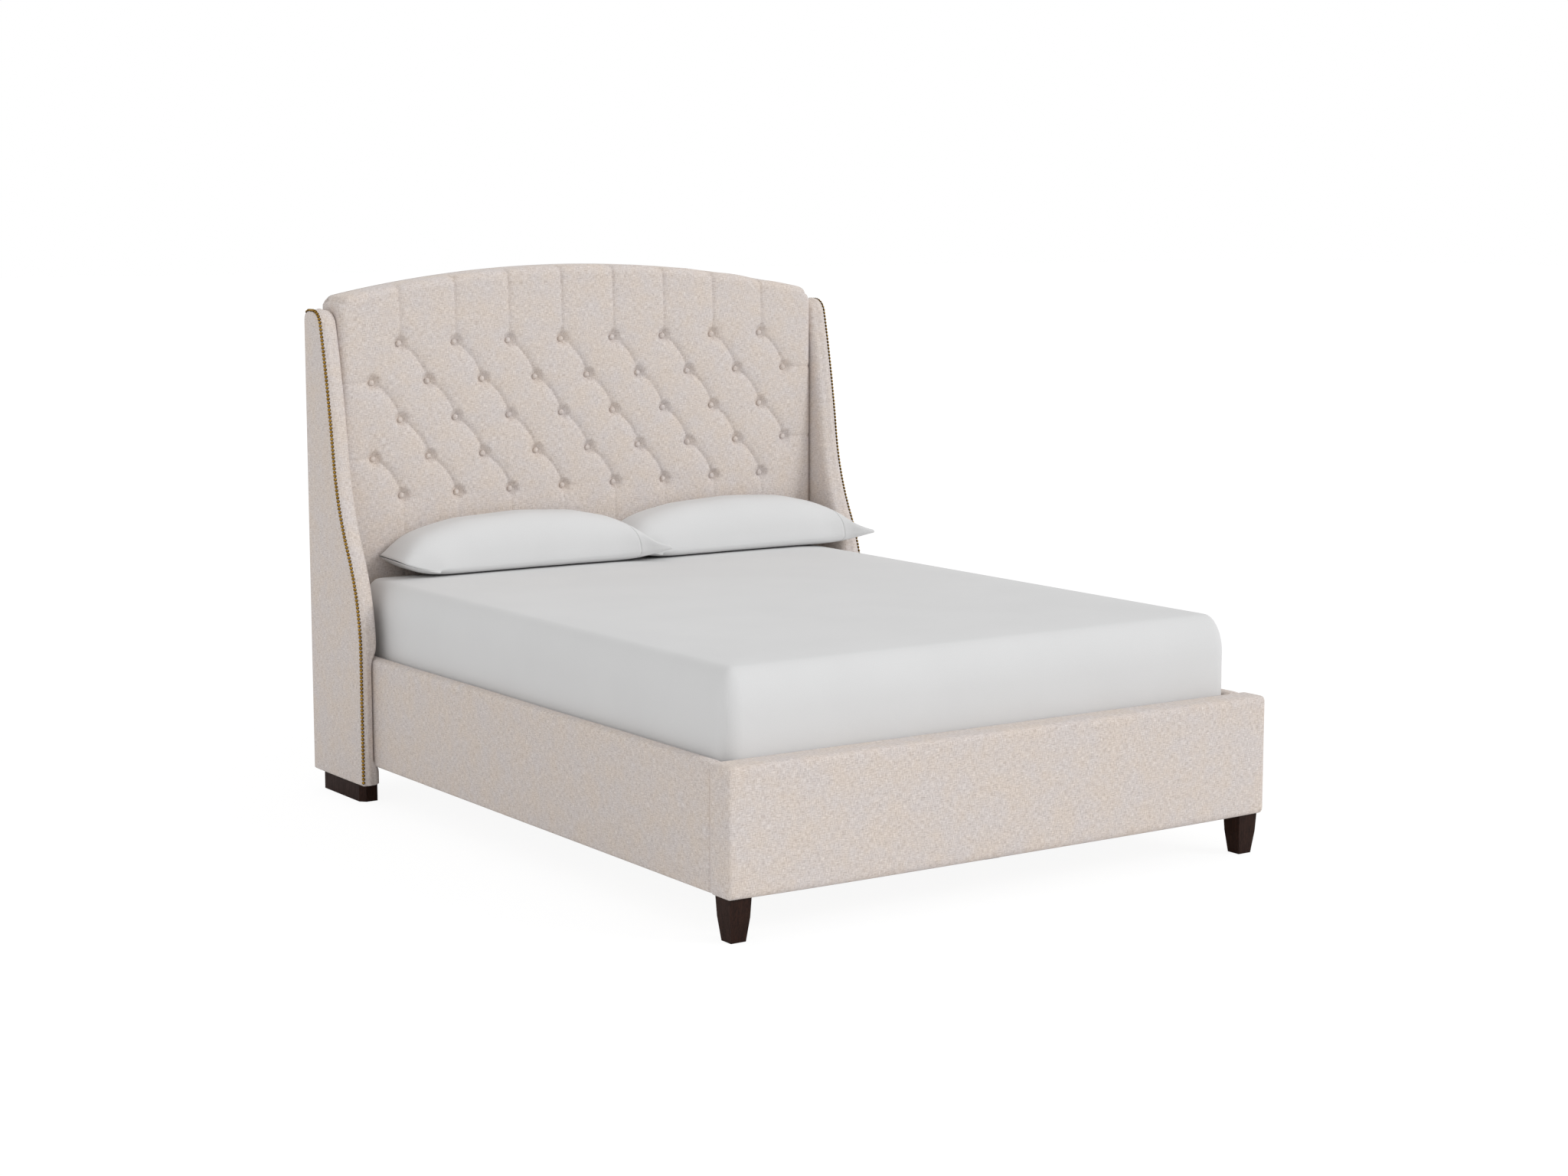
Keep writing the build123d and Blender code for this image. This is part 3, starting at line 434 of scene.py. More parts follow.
# Buttons: moulds covered in the same linen, each a shallow dome that sits on the bottom of its hollow.
def studded(places, out, profile, sides):
    """Points and faces of one small round form at many places; profile holds (radius, height) pairs, and out
    is the direction in which each form stands up. Its two other axes come from a direction askew to all."""
    askew = (0.31, 0.17, 0.94)
    places = np.asarray(places, float)
    out = np.broadcast_to(out, places.shape)
    first = np.cross(out, askew)
    first /= np.linalg.norm(first, axis=1, keepdims=True)
    second = np.cross(out, first)
    angle = 2 * math.pi * np.arange(sides) / sides
    ring = np.cos(angle)[:, None] * first[:, None] + np.sin(angle)[:, None] * second[:, None]
    radius, height = np.array(profile, float).T
    form = radius[:, None, None] * ring[:, None] + height[:, None, None] * out[:, None, None]
    count = len(profile) * sides
    one = tube_faces(len(profile), sides)
    starts = range(0, len(places) * count, count)
    faces = [[corner + start for corner in face] for start in starts for face in one]
    return places[:, None, None] + form, faces


button_profile = ((7.8, 0), (8.9, 1.6), (8.8, 3.4), (7.6, 5.6), (5.4, 7.2), (2.7, 8.1), (0.8, 8.3))
button_sides, button_sink = 18, 0.5
button_centres = [(x, pad_front + button_seat + button_sink, z) for x, z in button_places]
points, faces = studded(button_centres, (0, -1, 0), button_profile, button_sides)
buttons = make_piece("covered_buttons", points, faces, linen)
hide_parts("headboard_buttons")


# Back of the headboard: linen stretched flat over a thin board, with its edges folded in all round.
def make_back_panel():
    """The arched outline, drawn once round, then stepped in towards the rear to round its edge."""
    low, high = node_box("headboard_back_cover")
    across_count, side_count = 81, 24
    top_gap, corner_gap = 0.5, 20
    edge_radius, edge_middle, face_inset = 4, 1.2, 60
    half = np.concatenate([np.linspace(-1, 1, across_count), np.ones(side_count)]) * high[0]
    x = np.concatenate([half, -half])
    top = (arch_height(x) - top_gap)[across_count + side_count:-side_count]
    rise = np.linspace(low[2], arch_height(high[0]) - top_gap - corner_gap, side_count)
    z = np.concatenate([[low[2]] * across_count, rise, top, rise[::-1]])
    depth = np.array([low[1], high[1] - edge_radius, high[1] - edge_middle, high[1], high[1]])[:, None]
    inset = np.array([0, 0, edge_middle, edge_radius, face_inset])[:, None]
    middle_z = (low[2] + high[2]) / 2
    x = x * (1 - inset / high[0])
    z = middle_z + (z - middle_z) * (1 - inset / (high[2] - middle_z))
    x, z = round_shoulders(x, z, shoulder_radius)
    return np.stack([x, 0 * x + depth, z], -1), tube_faces(*x.shape)


back_panel = make_piece("back_panel", *make_back_panel(), linen)
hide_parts("headboard_back_cover")


# Wings: shaped boards in padded linen. The front edge is a soft band that leans back in a long S from the
# rails to the top; the rails press into the inner side, so the band flares out again under them.
wing_low, wing_high = node_box("right_wing_cover")
wing_thick = wing_high[0] - wing_low[0]
rail_low, rail_high = node_box("right_rail_cover")


def arc_to(start, heading, end, count):
    """Points, as y + iz, of the arc that leaves start along the heading and reaches end: after turning by
    2 f alpha it is c sin(f alpha) / sin(alpha) away, with c the chord's length, in the heading turned by
    f alpha. Also the heading at its end."""
    chord = end - start
    alpha = np.angle(chord / heading)
    f = np.linspace(0, 1, count)
    size = abs(chord) * (np.sin(f * alpha) / math.sin(alpha) if abs(alpha) > 1e-6 else f)
    return start + size * heading * np.exp(1j * f * alpha), heading * np.exp(2j * alpha)


def spaced(line, count):
    """The line's points, set evenly along it."""
    steps = np.concatenate([[0], np.cumsum(np.abs(np.diff(line)))])
    return np.interp(np.linspace(0, steps[-1], count), steps, line)


def wing_edges(count):
    """The front edge and the rear edge as y + iz, each from the bottom to where they meet on top. The front
    is upright, then arcs through knots given as shares of height and depth; the rear ends in a round heel."""
    knot_shares = ((0.2765, 1), (0.4956, 0.781), (0.6865, 0.5355), (0.9717, 0.3254))
    heel = 34
    bottom, top = wing_low[2], wing_high[2]
    front, rear = wing_low[1], wing_high[1]
    height, depth = top - bottom, rear - front
    knots = [rear - part * depth + 1j * (bottom + rise * height) for rise, part in knot_shares]
    heading = 1j
    edge = [[front + 1j * bottom]]
    for start, end in zip(knots, knots[1:]):
        arc, heading = arc_to(start, heading, end, 60)
        edge.append(arc)
    flat_run = (top - end.imag) / math.tan(np.angle(heading) / 2)
    edge.append(arc_to(end, heading, end.real + flat_run + 1j * top, 24)[0])
    heel_arc = rear - heel + 1j * (top - heel) + heel * np.exp(1j * np.linspace(0, math.pi / 2, 20))
    back = np.concatenate([[rear + 1j * bottom], heel_arc])
    return spaced(np.concatenate(edge), count), spaced(back, count)


def inward(line, side):
    """Unit normals of a line that point into the wing."""
    run = np.gradient(line)
    return -1j * side * run / np.abs(run)


def make_wing():
    """Rings of the padded wing, each across both faces from the front edge to the rear. The front is an
    elliptic roll on the inside, a crowned band, and a small radius on the outside, where the nails sit.

    The inner face gives way where the rail presses on it, by a product of soft steps 1 / (1 + e^(v / w)),
    with v the way past the rail's lower edge, upper edge and end, and w the width of each step. Over the
    rail it is filled out to the pad's side."""
    count, columns = 230, 16
    inner_width, inner_depth, outer_radius, rear_radius = 22, 19, 5, 4
    band_crown, face_swell = 4.2, 1.6
    rail_overlap, pad_overlap, pad_lead, pad_blur = 0.5, 0.2, 6, 22
    sole_inset, sole_rise = 7, 3
    front, rear = wing_edges(count)
    roll = np.linspace(0, math.pi / 2, 9)
    outer_roll = roll[::2]
    band = np.linspace(0, 1, 7)[1:-1]
    small = np.linspace(0, math.pi / 2, 4)
    between = np.linspace(0, 1, columns + 2)[1:-1]
    x = np.concatenate([
        inner_width * (1 - np.cos(roll)),
        inner_width + band * (wing_thick - inner_width - outer_radius),
        wing_thick - outer_radius * (1 - np.sin(outer_roll)),
    ])
    depth = np.concatenate([
        inner_depth * (1 - np.sin(roll)),
        -band_crown * np.sin(math.pi * band) ** 2,
        outer_radius * (1 - np.cos(outer_roll)),
    ])
    tail_in, tail_out = rear_radius * (1 - np.cos(small)), rear_radius * (1 - np.sin(small))
    tail_x = np.concatenate([wing_thick - tail_in, tail_out])
    tail_depth = np.concatenate([tail_out, tail_in])
    nose = front[:, None] + inward(front, 1)[:, None] * depth
    tail = rear[:, None] + inward(rear, -1)[:, None] * tail_depth
    outer_face = nose[:, -1:] + (tail[:, :1] - nose[:, -1:]) * between
    inner_face = tail[:, -1:] + (nose[:, :1] - tail[:, -1:]) * between
    plan = np.concatenate([nose, outer_face, tail, inner_face], 1)
    swell = face_swell * np.sin(math.pi * between) ** 0.7
    across = np.concatenate([x, wing_thick + swell, tail_x, 0 * swell])
    inside = np.clip(1 - across / wing_thick, 0, 1)
    y, z = plan.real, plan.imag
    pressed = 1
    for past, lead, width in ((rail_low[2] - z, 4, 5), (z - rail_high[2], 6, 9), (y - rail_high[1], 8, 3)):
        pressed = pressed / (1 + np.exp((past - lead) / width))
    across = across + (rail_high[0] - wing_low[0] + rail_overlap) * pressed * inside**1.5
    beside_pad = eased((y - pad_front + pad_lead) / pad_blur) * (z > rail_high[2])
    across = across - (wing_low[0] - pad_half + pad_overlap) * beside_pad * inside**4
    points = np.stack([wing_low[0] + across, y, z], -1)
    sole = points[:1].copy()
    centre = sole.mean(1, keepdims=True)
    extent = np.ptp(points[0], axis=0) + [0, 0, 1]
    sole = centre + (sole - centre) * (1 - np.array([sole_inset, sole_inset, 0]) / extent)
    points[0, :, 2] += sole_rise
    points = np.concatenate([sole, points])
    return points, tube_faces(*points.shape[:2])


sides = ((1, "right"), (-1, "left"))
wing_points, wing_faces = make_wing()
for side, name in sides:
    wing = make_piece(name + "_padded_wing", wing_points * (side, 1, 1), wing_faces, linen)
    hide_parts(name + "_wing_cover")


# Nailheads: small antique brass domes driven edge to edge along the outer corner of each wing's band, from
# its lower end up and over the top. Too small and many for the CAD part, they exist only here.
def make_brass():
    """Aged brass: worn yellow on each dome's crown, dull in patches, and dark brown towards its rim, which is
    partly patina and partly painted shade for the shadowed gaps between the domes.
    """
    material, tree = new_material("antique_brass")
    place = add_node(tree, "TexCoord").outputs["Object"]
    patch = noise(tree, place, 160, 3)
    worn = blended(tree, spread(tree, patch, 0.35, 0.65), "#7A5A1E", "#B08A40")
    # The crown attribute runs from 0 at a dome's rim to 1 on top. The dark rim colour it blends in is patina
    # and painted shade between the domes.
    crown = add_node(tree, "Attribute", attribute_name="crown").outputs["Fac"]
    return shaded(material, {
        "Base Color": blended(tree, crown, "#1A0C04", worn), "Metallic": 1,
        "Roughness": spread(tree, patch, 0.3, 0.7, 0.48, 0.3),
    })


brass = make_brass()
nail_pitch, nail_inset = 10.6, 1.6
nail_slant = math.radians(46)
nail_sides = 10
nail_profile = ((4.8, -3.0), (5.2, -0.4), (4.8, 1.5), (3.5, 3.0), (1.6, 3.8), (0.4, 3.9))
# Share of worn brass on each ring of the nail profile. The rest is the dark rim colour: patina and painted
# shade between the domes.
nail_crown = (0, 0, 0.25, 0.9, 1, 1)
edge_count, over_top_count = 600, 13
nail_edge, rear_edge = wing_edges(edge_count)
nail_edge = np.concatenate([nail_edge, rear_edge[::-1][:over_top_count]])
nail_line = spaced(nail_edge, int(np.abs(np.diff(nail_edge)).sum() / nail_pitch))
nail_in = inward(nail_line, 1)
nail_line = (nail_line + nail_in * nail_inset)[1:-1]
nail_out = -nail_in[1:-1] * math.sin(nail_slant)
for side, name in sides:
    across = np.full(nail_line.size, side * (wing_high[0] - nail_inset))
    centres = np.stack([across, nail_line.real, nail_line.imag], 1)
    outwards = np.stack([0 * across + side * math.cos(nail_slant), nail_out.real, nail_out.imag], 1)
    points, faces = studded(centres, outwards, nail_profile, nail_sides)
    nails = make_piece(name + "_nailheads", points, faces, brass, slot=None)
    crown = nails.data.attributes.new("crown", "FLOAT", "POINT")
    crown.data.foreach_set("value", np.tile(np.repeat(nail_crown, nail_sides), len(centres)))


# Side rails: boards in thin padding and linen. The cover rolls over the top edge and folds under the
# bottom; inside it is open below a short flap, where the slat cleat is screwed to the board.
cloth_sag = 8.8


def make_rail():
    """One closed section as x + iz, drawn from the flap over the top and back up inside, and swept along y
    with a slow drift of the padding. Its outside and top turn in at the foot end by r e^(-y / l)."""
    inner, outer, top = rail_low[0], rail_high[0], rail_high[2]
    bottom = rail_low[2] - cloth_sag
    inner_depth, outer_depth, flap_depth, top_depth, lip = 33, 8, 70, 10, 3
    board_inner, board_outer = outer - inner_depth, outer - outer_depth
    flap, board_top, board_bottom = top - flap_depth, top - top_depth, rail_low[2] + lip
    inner_roll, top_roll, bottom_roll = 11, 14, 9
    side_swell, crown_rise = 1, 1.5
    side_drift, top_drift, cloth_start, side_blur, top_blur = 0.45, 0.4, 1, 3, 5
    end_turn, end_reach = 7, 3.5
    end_steps, long_step = np.array([0.3, 1.5, 3.5, 8]), 20
    face_x, shoulder = outer - side_swell, top - crown_rise
    quarter = np.linspace(0, math.pi / 2, 8)
    opening, closing = 1 - np.cos(quarter), 1 - np.sin(quarter)
    crown = np.linspace(0, 1, 5)[1:-1]
    crown_x = inner + inner_roll + crown * (outer - inner - inner_roll - top_roll)
    face = np.linspace(0, 1, 26)[1:-1]
    face_height = top - bottom - top_roll - bottom_roll
    parts = [
        [inner + 1j * flap, inner + 1j * (flap + top) / 2],
        inner + inner_roll * opening + 1j * (shoulder - inner_roll * closing),
        crown_x + 1j * (shoulder + crown_rise * np.sin(math.pi * crown)),
        outer - top_roll * closing - side_swell + 1j * (shoulder - top_roll * opening),
        face_x + side_swell * np.sin(math.pi * face) + 1j * (top - top_roll - face * face_height),
        face_x - bottom_roll * opening + 1j * (bottom + bottom_roll * closing),
        [board_inner + 1j * bottom, board_inner + 1j * board_bottom, board_outer + 1j * board_bottom],
        [board_outer + 1j * board_top, board_inner + 1j * board_top, board_inner + 1j * flap],
    ]
    section = np.concatenate(parts)
    length = np.linspace(rail_low[1] + long_step, rail_high[1], 150)
    y = np.concatenate([rail_low[1] + end_steps, length])[:, None]
    x, z = section.real + 0 * y, section.imag + 0 * y
    outside = np.clip((x - board_outer - cloth_start) / side_blur, 0, 1)
    above = np.clip((z - board_top - cloth_start) / top_blur, 0, 1)
    ending = end_turn * np.exp(-(y - rail_low[1]) / end_reach)
    x = x + outside * (side_drift * drift(y, z, (173, 90, 71, 55), 1, 0.7) - ending)
    z = z + above * (top_drift * np.sin(y / 120) - ending)
    return np.stack([x, y + 0 * x, z], -1), tube_faces(*x.shape)


rail_points, rail_faces = make_rail()
for side, name in sides:
    rail = make_piece(name + "_padded_rail", rail_points * (side, 1, 1), rail_faces, linen)
    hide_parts(name + "_rail_cover")


# Footboard: a timber box in thicker padding, one linen cover with soft corners and a crowned front and top.
# The cloth hangs a little under the box, most in the middle, and a seam is drawn in across each top corner.
def rounded_box(low, high, radii, counts, margin=7, low_rise=None):
    """Points on a box, pulled onto its rounded corners: c is the point clipped to the box less the radii,
    and p = c + r q / |q| with q = (p - c) / r on each axis. Each axis has its own radius and count, and
    low_rise is the upright radius at the bottom where it differs. Returns six grids, their faces and the
    outward direction at each point."""
    low, high = np.array(low, float), np.array(high, float)
    radii = np.array(radii, float)
    low_radii = np.array([radii[0], radii[1], low_rise or radii[2]])
    bend = 1 - np.cos(np.linspace(0, math.pi / 2, margin + 1))[:-1]
    lines = []
    for start, end, low_radius, radius, count in zip(low, high, low_radii, radii, counts):
        middle = np.linspace(start + low_radius, end - radius, count)
        lines.append(np.concatenate([start + low_radius * bend, middle, (end - radius * bend)[::-1]]))
    points, faces, start = [], [], 0
    for axis in range(3):
        first, second = [other for other in range(3) if other != axis]
        for bound in (low[axis], high[axis]):
            one, two = np.meshgrid(lines[first], lines[second], indexing="ij")
            grid = np.empty(one.shape + (3,))
            grid[..., first], grid[..., second], grid[..., axis] = one, two, bound
            points.append(grid.reshape(-1, 3))
            faces += [[corner + start for corner in face] for face in grid_faces(*one.shape)]
            start += one.size
    points = np.concatenate(points)
    radii = np.where(points < low + low_radii, low_radii, radii)
    core = np.clip(points, low + low_radii, high - radii.max(0))
    q = (points - core) / radii
    q /= np.linalg.norm(q, axis=1, keepdims=True)
    return core + radii * q, faces, q


def make_footboard():
    """A rounded box in five steps: the bottom between its edges is raised to the box inside, the hanging
    edge sinks by s (1 - (x / h)^4), the front swells by a root of a parabola and a slow drift, and the seams
    are grooves e^-(m / w)^2, with m the distance from the line at 45 degrees through each top corner."""
    low, high = node_box("footboard_cover")
    half = high[0]
    radii, counts = (11, 15, 15), (90, 8, 26)
    hang = cloth_sag + 1
    flap_width, bottom_gap, middle_sag = 11.5, 0.4, 4.4
    front_swell, front_inset, drift_depth = 2.2, 2, 0.5
    seam_depth, seam_width, seam_drop, seam_length = 1.1, 1.6, 24, 34
    points, faces, out = rounded_box(low - (0, 0, hang), high, radii, counts)
    x, y, z = points.T
    rim = np.minimum(half - np.abs(x), np.minimum(y - low[1], high[1] - y))
    z[:] = np.where((out[:, 2] < -0.9) & (rim > flap_width), low[2] - bottom_gap, z)
    hanging = np.clip((low[2] - z) / hang, 0, 1)
    z -= middle_sag * hanging * (1 - (x / half) ** 4)
    swell = front_swell * np.clip(1 - (x / half) ** 2, 0, 1) ** 0.5
    swell = swell + drift_depth * np.sin(x / 143 + 2) * np.sin(z / 80)
    y -= np.clip(-out[:, 1], 0, 1) ** 2 * (swell - front_inset)
    mitre = np.abs((half - np.abs(x)) - (y - low[1]))
    on_corner = (z > high[2] - seam_drop) * (half - np.abs(x) < seam_length)
    points -= out * (seam_depth * hump(mitre, seam_width) * on_corner)[:, None]
    return points, faces


footboard = make_piece("padded_footboard", *make_footboard(), linen)
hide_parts("footboard_cover")


# Foundation: a box base that fills the deep frame under the mattress, in plain ticking with a flat top.
def make_ticking():
    """Off-white knitted ticking, raised in small diamonds: (|sin(pi (p + q) / d)| |sin(pi (p - q) / d)|)^0.35
    with p and q along the cloth."""
    diamond = 0.03
    material, tree = new_material("ticking")
    place, across, along = thread_place(tree)
    fine = streaks(tree, across, along, 420, 420)
    rises = []
    for way in ("ADD", "SUBTRACT"):
        phase = maths(tree, "MULTIPLY", maths(tree, way, across, along), math.pi / diamond)
        rises.append(maths(tree, "ABSOLUTE", maths(tree, "SINE", phase)))
    quilt = maths(tree, "POWER", maths(tree, "MULTIPLY", *rises), 0.35)
    return shaded(material, {
        "Base Color": blended(tree, spread(tree, fine, 0.35, 0.65), "#CFCBC4", "#E4E1DB"),
        "Normal": bump(tree, fine, 0.3, 0.0004, under=bump(tree, quilt, 0.8, 0.002)), "Roughness": 0.9,
    })


ticking = make_ticking()
foundation_radii, foundation_counts = (40, 40, 10), (40, 50, 14)
points, faces = rounded_box(*node_box("foundation"), foundation_radii, foundation_counts)[:2]
foundation = make_piece("box_foundation", points, faces, ticking, "foundation", "mattress_ticking")
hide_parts("foundation")


# Mattress: a sprung block in ticking with soft rounded shoulders and a small bottom edge, hidden by its
# sheet except from below.
mattress_low, mattress_high = node_box("mattress")
mattress_radii, mattress_low_rise = np.array((50, 50, 108)), 16
mattress_counts = (50, 60, 10)
edge_fall, edge_reach, fall_height = 9, 90, 250


def top_fall(points):
    """How far the top has sunk near its edges: f e^-(g / r)^2 at g from the nearest edge, less lower down."""
    x, y, z = points.T
    edge = np.minimum(mattress_high[0] - np.abs(x), mattress_high[1] - y)
    edge = np.maximum(np.minimum(edge, y - mattress_low[1]), 0)
    return edge_fall * hump(edge, edge_reach) * np.clip((z - mattress_low[2]) / fall_height, 0, 1)


points, faces = rounded_box(
    mattress_low, mattress_high, mattress_radii, mattress_counts, low_rise=mattress_low_rise
)[:2]
points[:, 2] -= top_fall(points)
mattress = make_piece("stuffed_mattress", points, faces, ticking, "mattress", "mattress_ticking")
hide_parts("mattress")


# Fitted sheet: smooth light grey cotton pulled over the mattress, with elastic that gathers it in small
# upright wrinkles low on the sides and at the corners, and a hem tucked under all round.
def make_cotton():
    """Light grey percale: almost plain, a very fine even weave and slow faint tone changes from washing."""
    material, tree = new_material("percale")
    place, across, along = thread_place(tree)
    weave = woven(tree, across, along, 260, 900, detail=1)
    slow = noise(tree, place, 5, 3)
    ground = blended(tree, spread(tree, slow, 0.35, 0.65), "#D7D7D7", "#D9D9D9")
    fine = blended(tree, spread(tree, weave, 0.7, 1.3), "#C9C9C9", "#EAEAEA")
    crumple = bump(tree, noise(tree, place, 26, 3, distortion=0.6), 0.12, 0.004)
    return shaded(material, {
        "Base Color": blended(tree, 0.12, ground, fine),
        "Normal": bump(tree, weave, 0.12, 0.0003, under=crumple), "Roughness": 0.85,
        "Specular IOR Level": 0.15,
    })


cotton = make_cotton()
sheet_low, sheet_high = node_box("fitted_sheet")


def make_sheet():
    """The mattress's form a little larger, open below inside the hem. Low on the sides it has puckers, the
    square of a sine of the run along the side, whose phase and depth wander; near the corners it has slanted
    strains, the square of a sine of the run plus 0.9 of the height."""
    hem, gap, bottom_band = 60, 1.5, 5
    counts, margin = (110, 130, 26), 9
    pucker_top, pucker_fade, pucker_depth = 540, 140, 0.7
    corner_reach, strain_depth = 130, 0.5
    radii, low_rise = mattress_radii + gap, mattress_low_rise + gap
    points, faces, out = rounded_box(sheet_low, sheet_high, radii, counts, margin, low_rise)
    x, y, z = points.T
    quads = np.array(faces)
    centre = points[quads].mean(1)
    from_end = np.minimum(centre[:, 1] - sheet_low[1], sheet_high[1] - centre[:, 1])
    from_edge = np.minimum(sheet_high[0] - np.abs(centre[:, 0]), from_end)
    kept = (centre[:, 2] > sheet_low[2] + bottom_band) | (from_edge < mattress_radii[0] + hem)
    upright = np.clip(1 - np.abs(out[:, 2]), 0, 1)
    low_down = np.clip((pucker_top - z) / pucker_fade, 0, 1) ** 1.5
    run = np.where(np.abs(out[:, 0]) > np.abs(out[:, 1]), y, x)
    pucker = np.maximum(np.sin(run / 17 + 2 * np.sin(run / 61) + z / 210), 0) ** 2
    pucker = pucker * (0.5 + 0.5 * np.sin(run / 83 + 1))
    from_corner = (sheet_high[0] - np.abs(x)) + np.minimum(y - sheet_low[1], sheet_high[1] - y)
    strain = hump(from_corner, corner_reach) * np.maximum(np.sin((run + 0.9 * z) / 29), 0) ** 2
    raised = upright * (pucker_depth * pucker * low_down + strain_depth * strain)
    points = points + out * raised[:, None]
    points[:, 2] -= top_fall(points)
    return points, quads[kept].tolist()


sheet = make_piece("elastic_fitted_sheet", *make_sheet(), cotton, "mattress", "sheet_cotton")
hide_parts("fitted_sheet")


# Pillows: two soft pillows lie on their long sides against the headboard, squashed into a wedge. Each case
# is closed at its right end, where the empty corner sticks out as an ear, and open at its left end. The
# sections are given as shares of a pillow's depth and height, at shares of its length from the open end.
pillow_low, pillow_high = node_box("left_pillowcase")
pillow_length = pillow_high[0] - pillow_low[0]
pillow_depth, pillow_height = 190, 168
wall_gap, ground_gap = 4, 0.3
pillow_wall, pillow_ground = pad_front - wall_gap, sheet_high[2] + ground_gap
place_shares = (0, 0.03, 0.08, 0.16, 0.26, 0.5, 0.72, 0.82, 0.88, 0.94, 1)
section_shares = {
    "front": (1.06, 1.06, 1.06, 1.04, 1.02, 1, 1.02, 1.06, 1.15, 1.28, 1.4),
    "rear": (0.04, 0.02, 0, 0, 0, 0, 0, 0.05, 0.3, 0.86, 1.25),
    "base": (0.1, 0.06, 0.02, 0, 0, 0, 0, 0, 0.04, 0.13, 0.225),
    "seam": (0.17, 0.165, 0.16, 0.15, 0.14, 0.15, 0.16, 0.17, 0.19, 0.22, 0.25),
    "top": (0.58, 0.66, 0.75, 0.84, 0.93, 1, 0.95, 0.84, 0.68, 0.42, 0.28),
}


def section_line(key, along):
    """One row of the sections as a smooth line along the pillow: interpolated, then blurred by a hump."""
    blur = 27
    fine = np.linspace(-0.05, 1.05, 400)
    value = np.interp(fine, place_shares, section_shares[key])
    kernel = np.hanning(blur) / np.hanning(blur).sum()
    blurred = np.convolve(np.pad(value, blur // 2, "edge"), kernel, "valid")
    return np.interp(along, fine, blurred)[:, None]


def pillow_surface(along, around, inset):
    """Sections across the pillow. Round each, with a from 0 at the front seam over the top (pi / 2) and the
    rear (pi) to the base (3 pi / 2), y = m - h sgn(cos a) |cos a|^p and z = seam + g |sin a|^q, where m and
    h are the middle and half of the depth, and g is the rise to the top or the fall to the base."""
    front, rear, base, seam, top = (section_line(key, along) for key in section_shares)
    sine, cosine = np.sin(around), np.cos(around)
    y_front = pillow_wall - front * pillow_depth + inset
    y_rear = pillow_wall - rear * pillow_depth - inset
    z_seam = pillow_ground + seam * pillow_height
    z_top = pillow_ground + top * pillow_height - inset
    z_base = pillow_ground + base * pillow_height + inset
    upper = sine >= 0
    y_power = np.where(upper, np.where(cosine < 0, 0.35, 0.86), 0.55)
    y = (y_front + y_rear) / 2 - (y_rear - y_front) / 2 * (np.sign(cosine) * np.abs(cosine) ** y_power)
    lift = np.abs(sine) ** np.where(cosine > 0, 0.9, 0.62)
    z = z_seam + np.where(upper, (z_top - z_seam) * lift, -(z_seam - z_base) * np.abs(sine) ** 0.6)
    return y, z


def make_case(start, phase):
    """The cotton case: the sections with slight creases fanning from the ear, slack between them, the front
    seam drawn in, and a stitched groove for the hem, bowed towards the ear in front. Towards the open end it
    flattens into a slit that slants from its rear tip down to the front: with w from 0 at the rear to 1 at
    the front, its middle is at h - f w - t w^12, it gapes most at the rear, and it is cut back by c w^16."""
    open_share, ear_share, hem_share = 0.14, 0.82, 0.866
    slit_height, slit_fall, slit_tip, flat_share = 52, 8, 32, 0.04
    gape_least, gape_rear, gape_share = 1.9, 4.5, 0.14
    fan_depth, fan_share, slack_depth = 2.2, 0.2, 1.8
    seam_depth, seam_angle = 1.6, 0.10
    stitch_depth, stitch_width, hem_bow, bow_share = 2.2, 1.5, 38, 0.09
    cut_back, cut_share = 105, 0.3
    groove_steps = np.array([-3.2, -1.6, -0.8, 0, 0.8, 1.6, 3.2])
    along = np.sort(np.concatenate([
        np.linspace(0, open_share, 24)[:-1], np.linspace(open_share, ear_share, 66)[:-1],
        np.linspace(ear_share, 1, 34), hem_share + groove_steps / pillow_length,
    ]))
    around = np.linspace(0, 2 * math.pi, 97)[:-1]
    y, z = pillow_surface(along, around, 0)
    u = along[:, None]
    to_hem = u - hem_share
    sine, cosine = np.sin(around), np.cos(around)
    forward = np.clip((y.max(1, keepdims=True) - y) / np.ptp(y, axis=1, keepdims=True), 0, 1)
    lens = np.sqrt(np.clip(1 - (2 * forward - 1) ** 2, 0, 1)) * np.sign(sine)
    gape = gape_least + gape_rear * hump(forward, gape_share)
    slit = pillow_ground + slit_height - slit_fall * forward - slit_tip * forward**12 + gape * lens
    flat = np.exp(-u / flat_share)
    z = z * (1 - flat) + slit * flat
    upper = np.clip(sine, 0, 1)
    fan = hump(1 - u, fan_share) * np.maximum(np.sin(9 * around + 7 * u + phase), 0)
    slack = 0.5 + 0.5 * np.sin(17 * u + 3 * around + phase) * np.sin(5 * u + 2 * phase)
    z = z - upper * (fan_depth * fan + slack_depth * slack * upper)
    seam = hump(np.minimum(around, 2 * math.pi - around), seam_angle)
    y = y - seam_depth * seam * np.clip(1 - (2 * u - 1) ** 8, 0, 1)
    stitch = hump(to_hem * pillow_length, stitch_width)
    z = z - stitch_depth * stitch * sine
    y = y + stitch_depth * stitch * cosine
    x = start + u * pillow_length + cut_back * forward**16 * np.clip(1 - u / cut_share, 0, 1) ** 2
    x = x + hem_bow * np.clip(cosine, 0, 1) * hump(to_hem, bow_share)
    points = np.stack([x, np.minimum(y, pillow_wall), np.maximum(z, pillow_ground)], -1)
    faces = tube_faces(*y.shape)
    del faces[-2]
    return points, faces


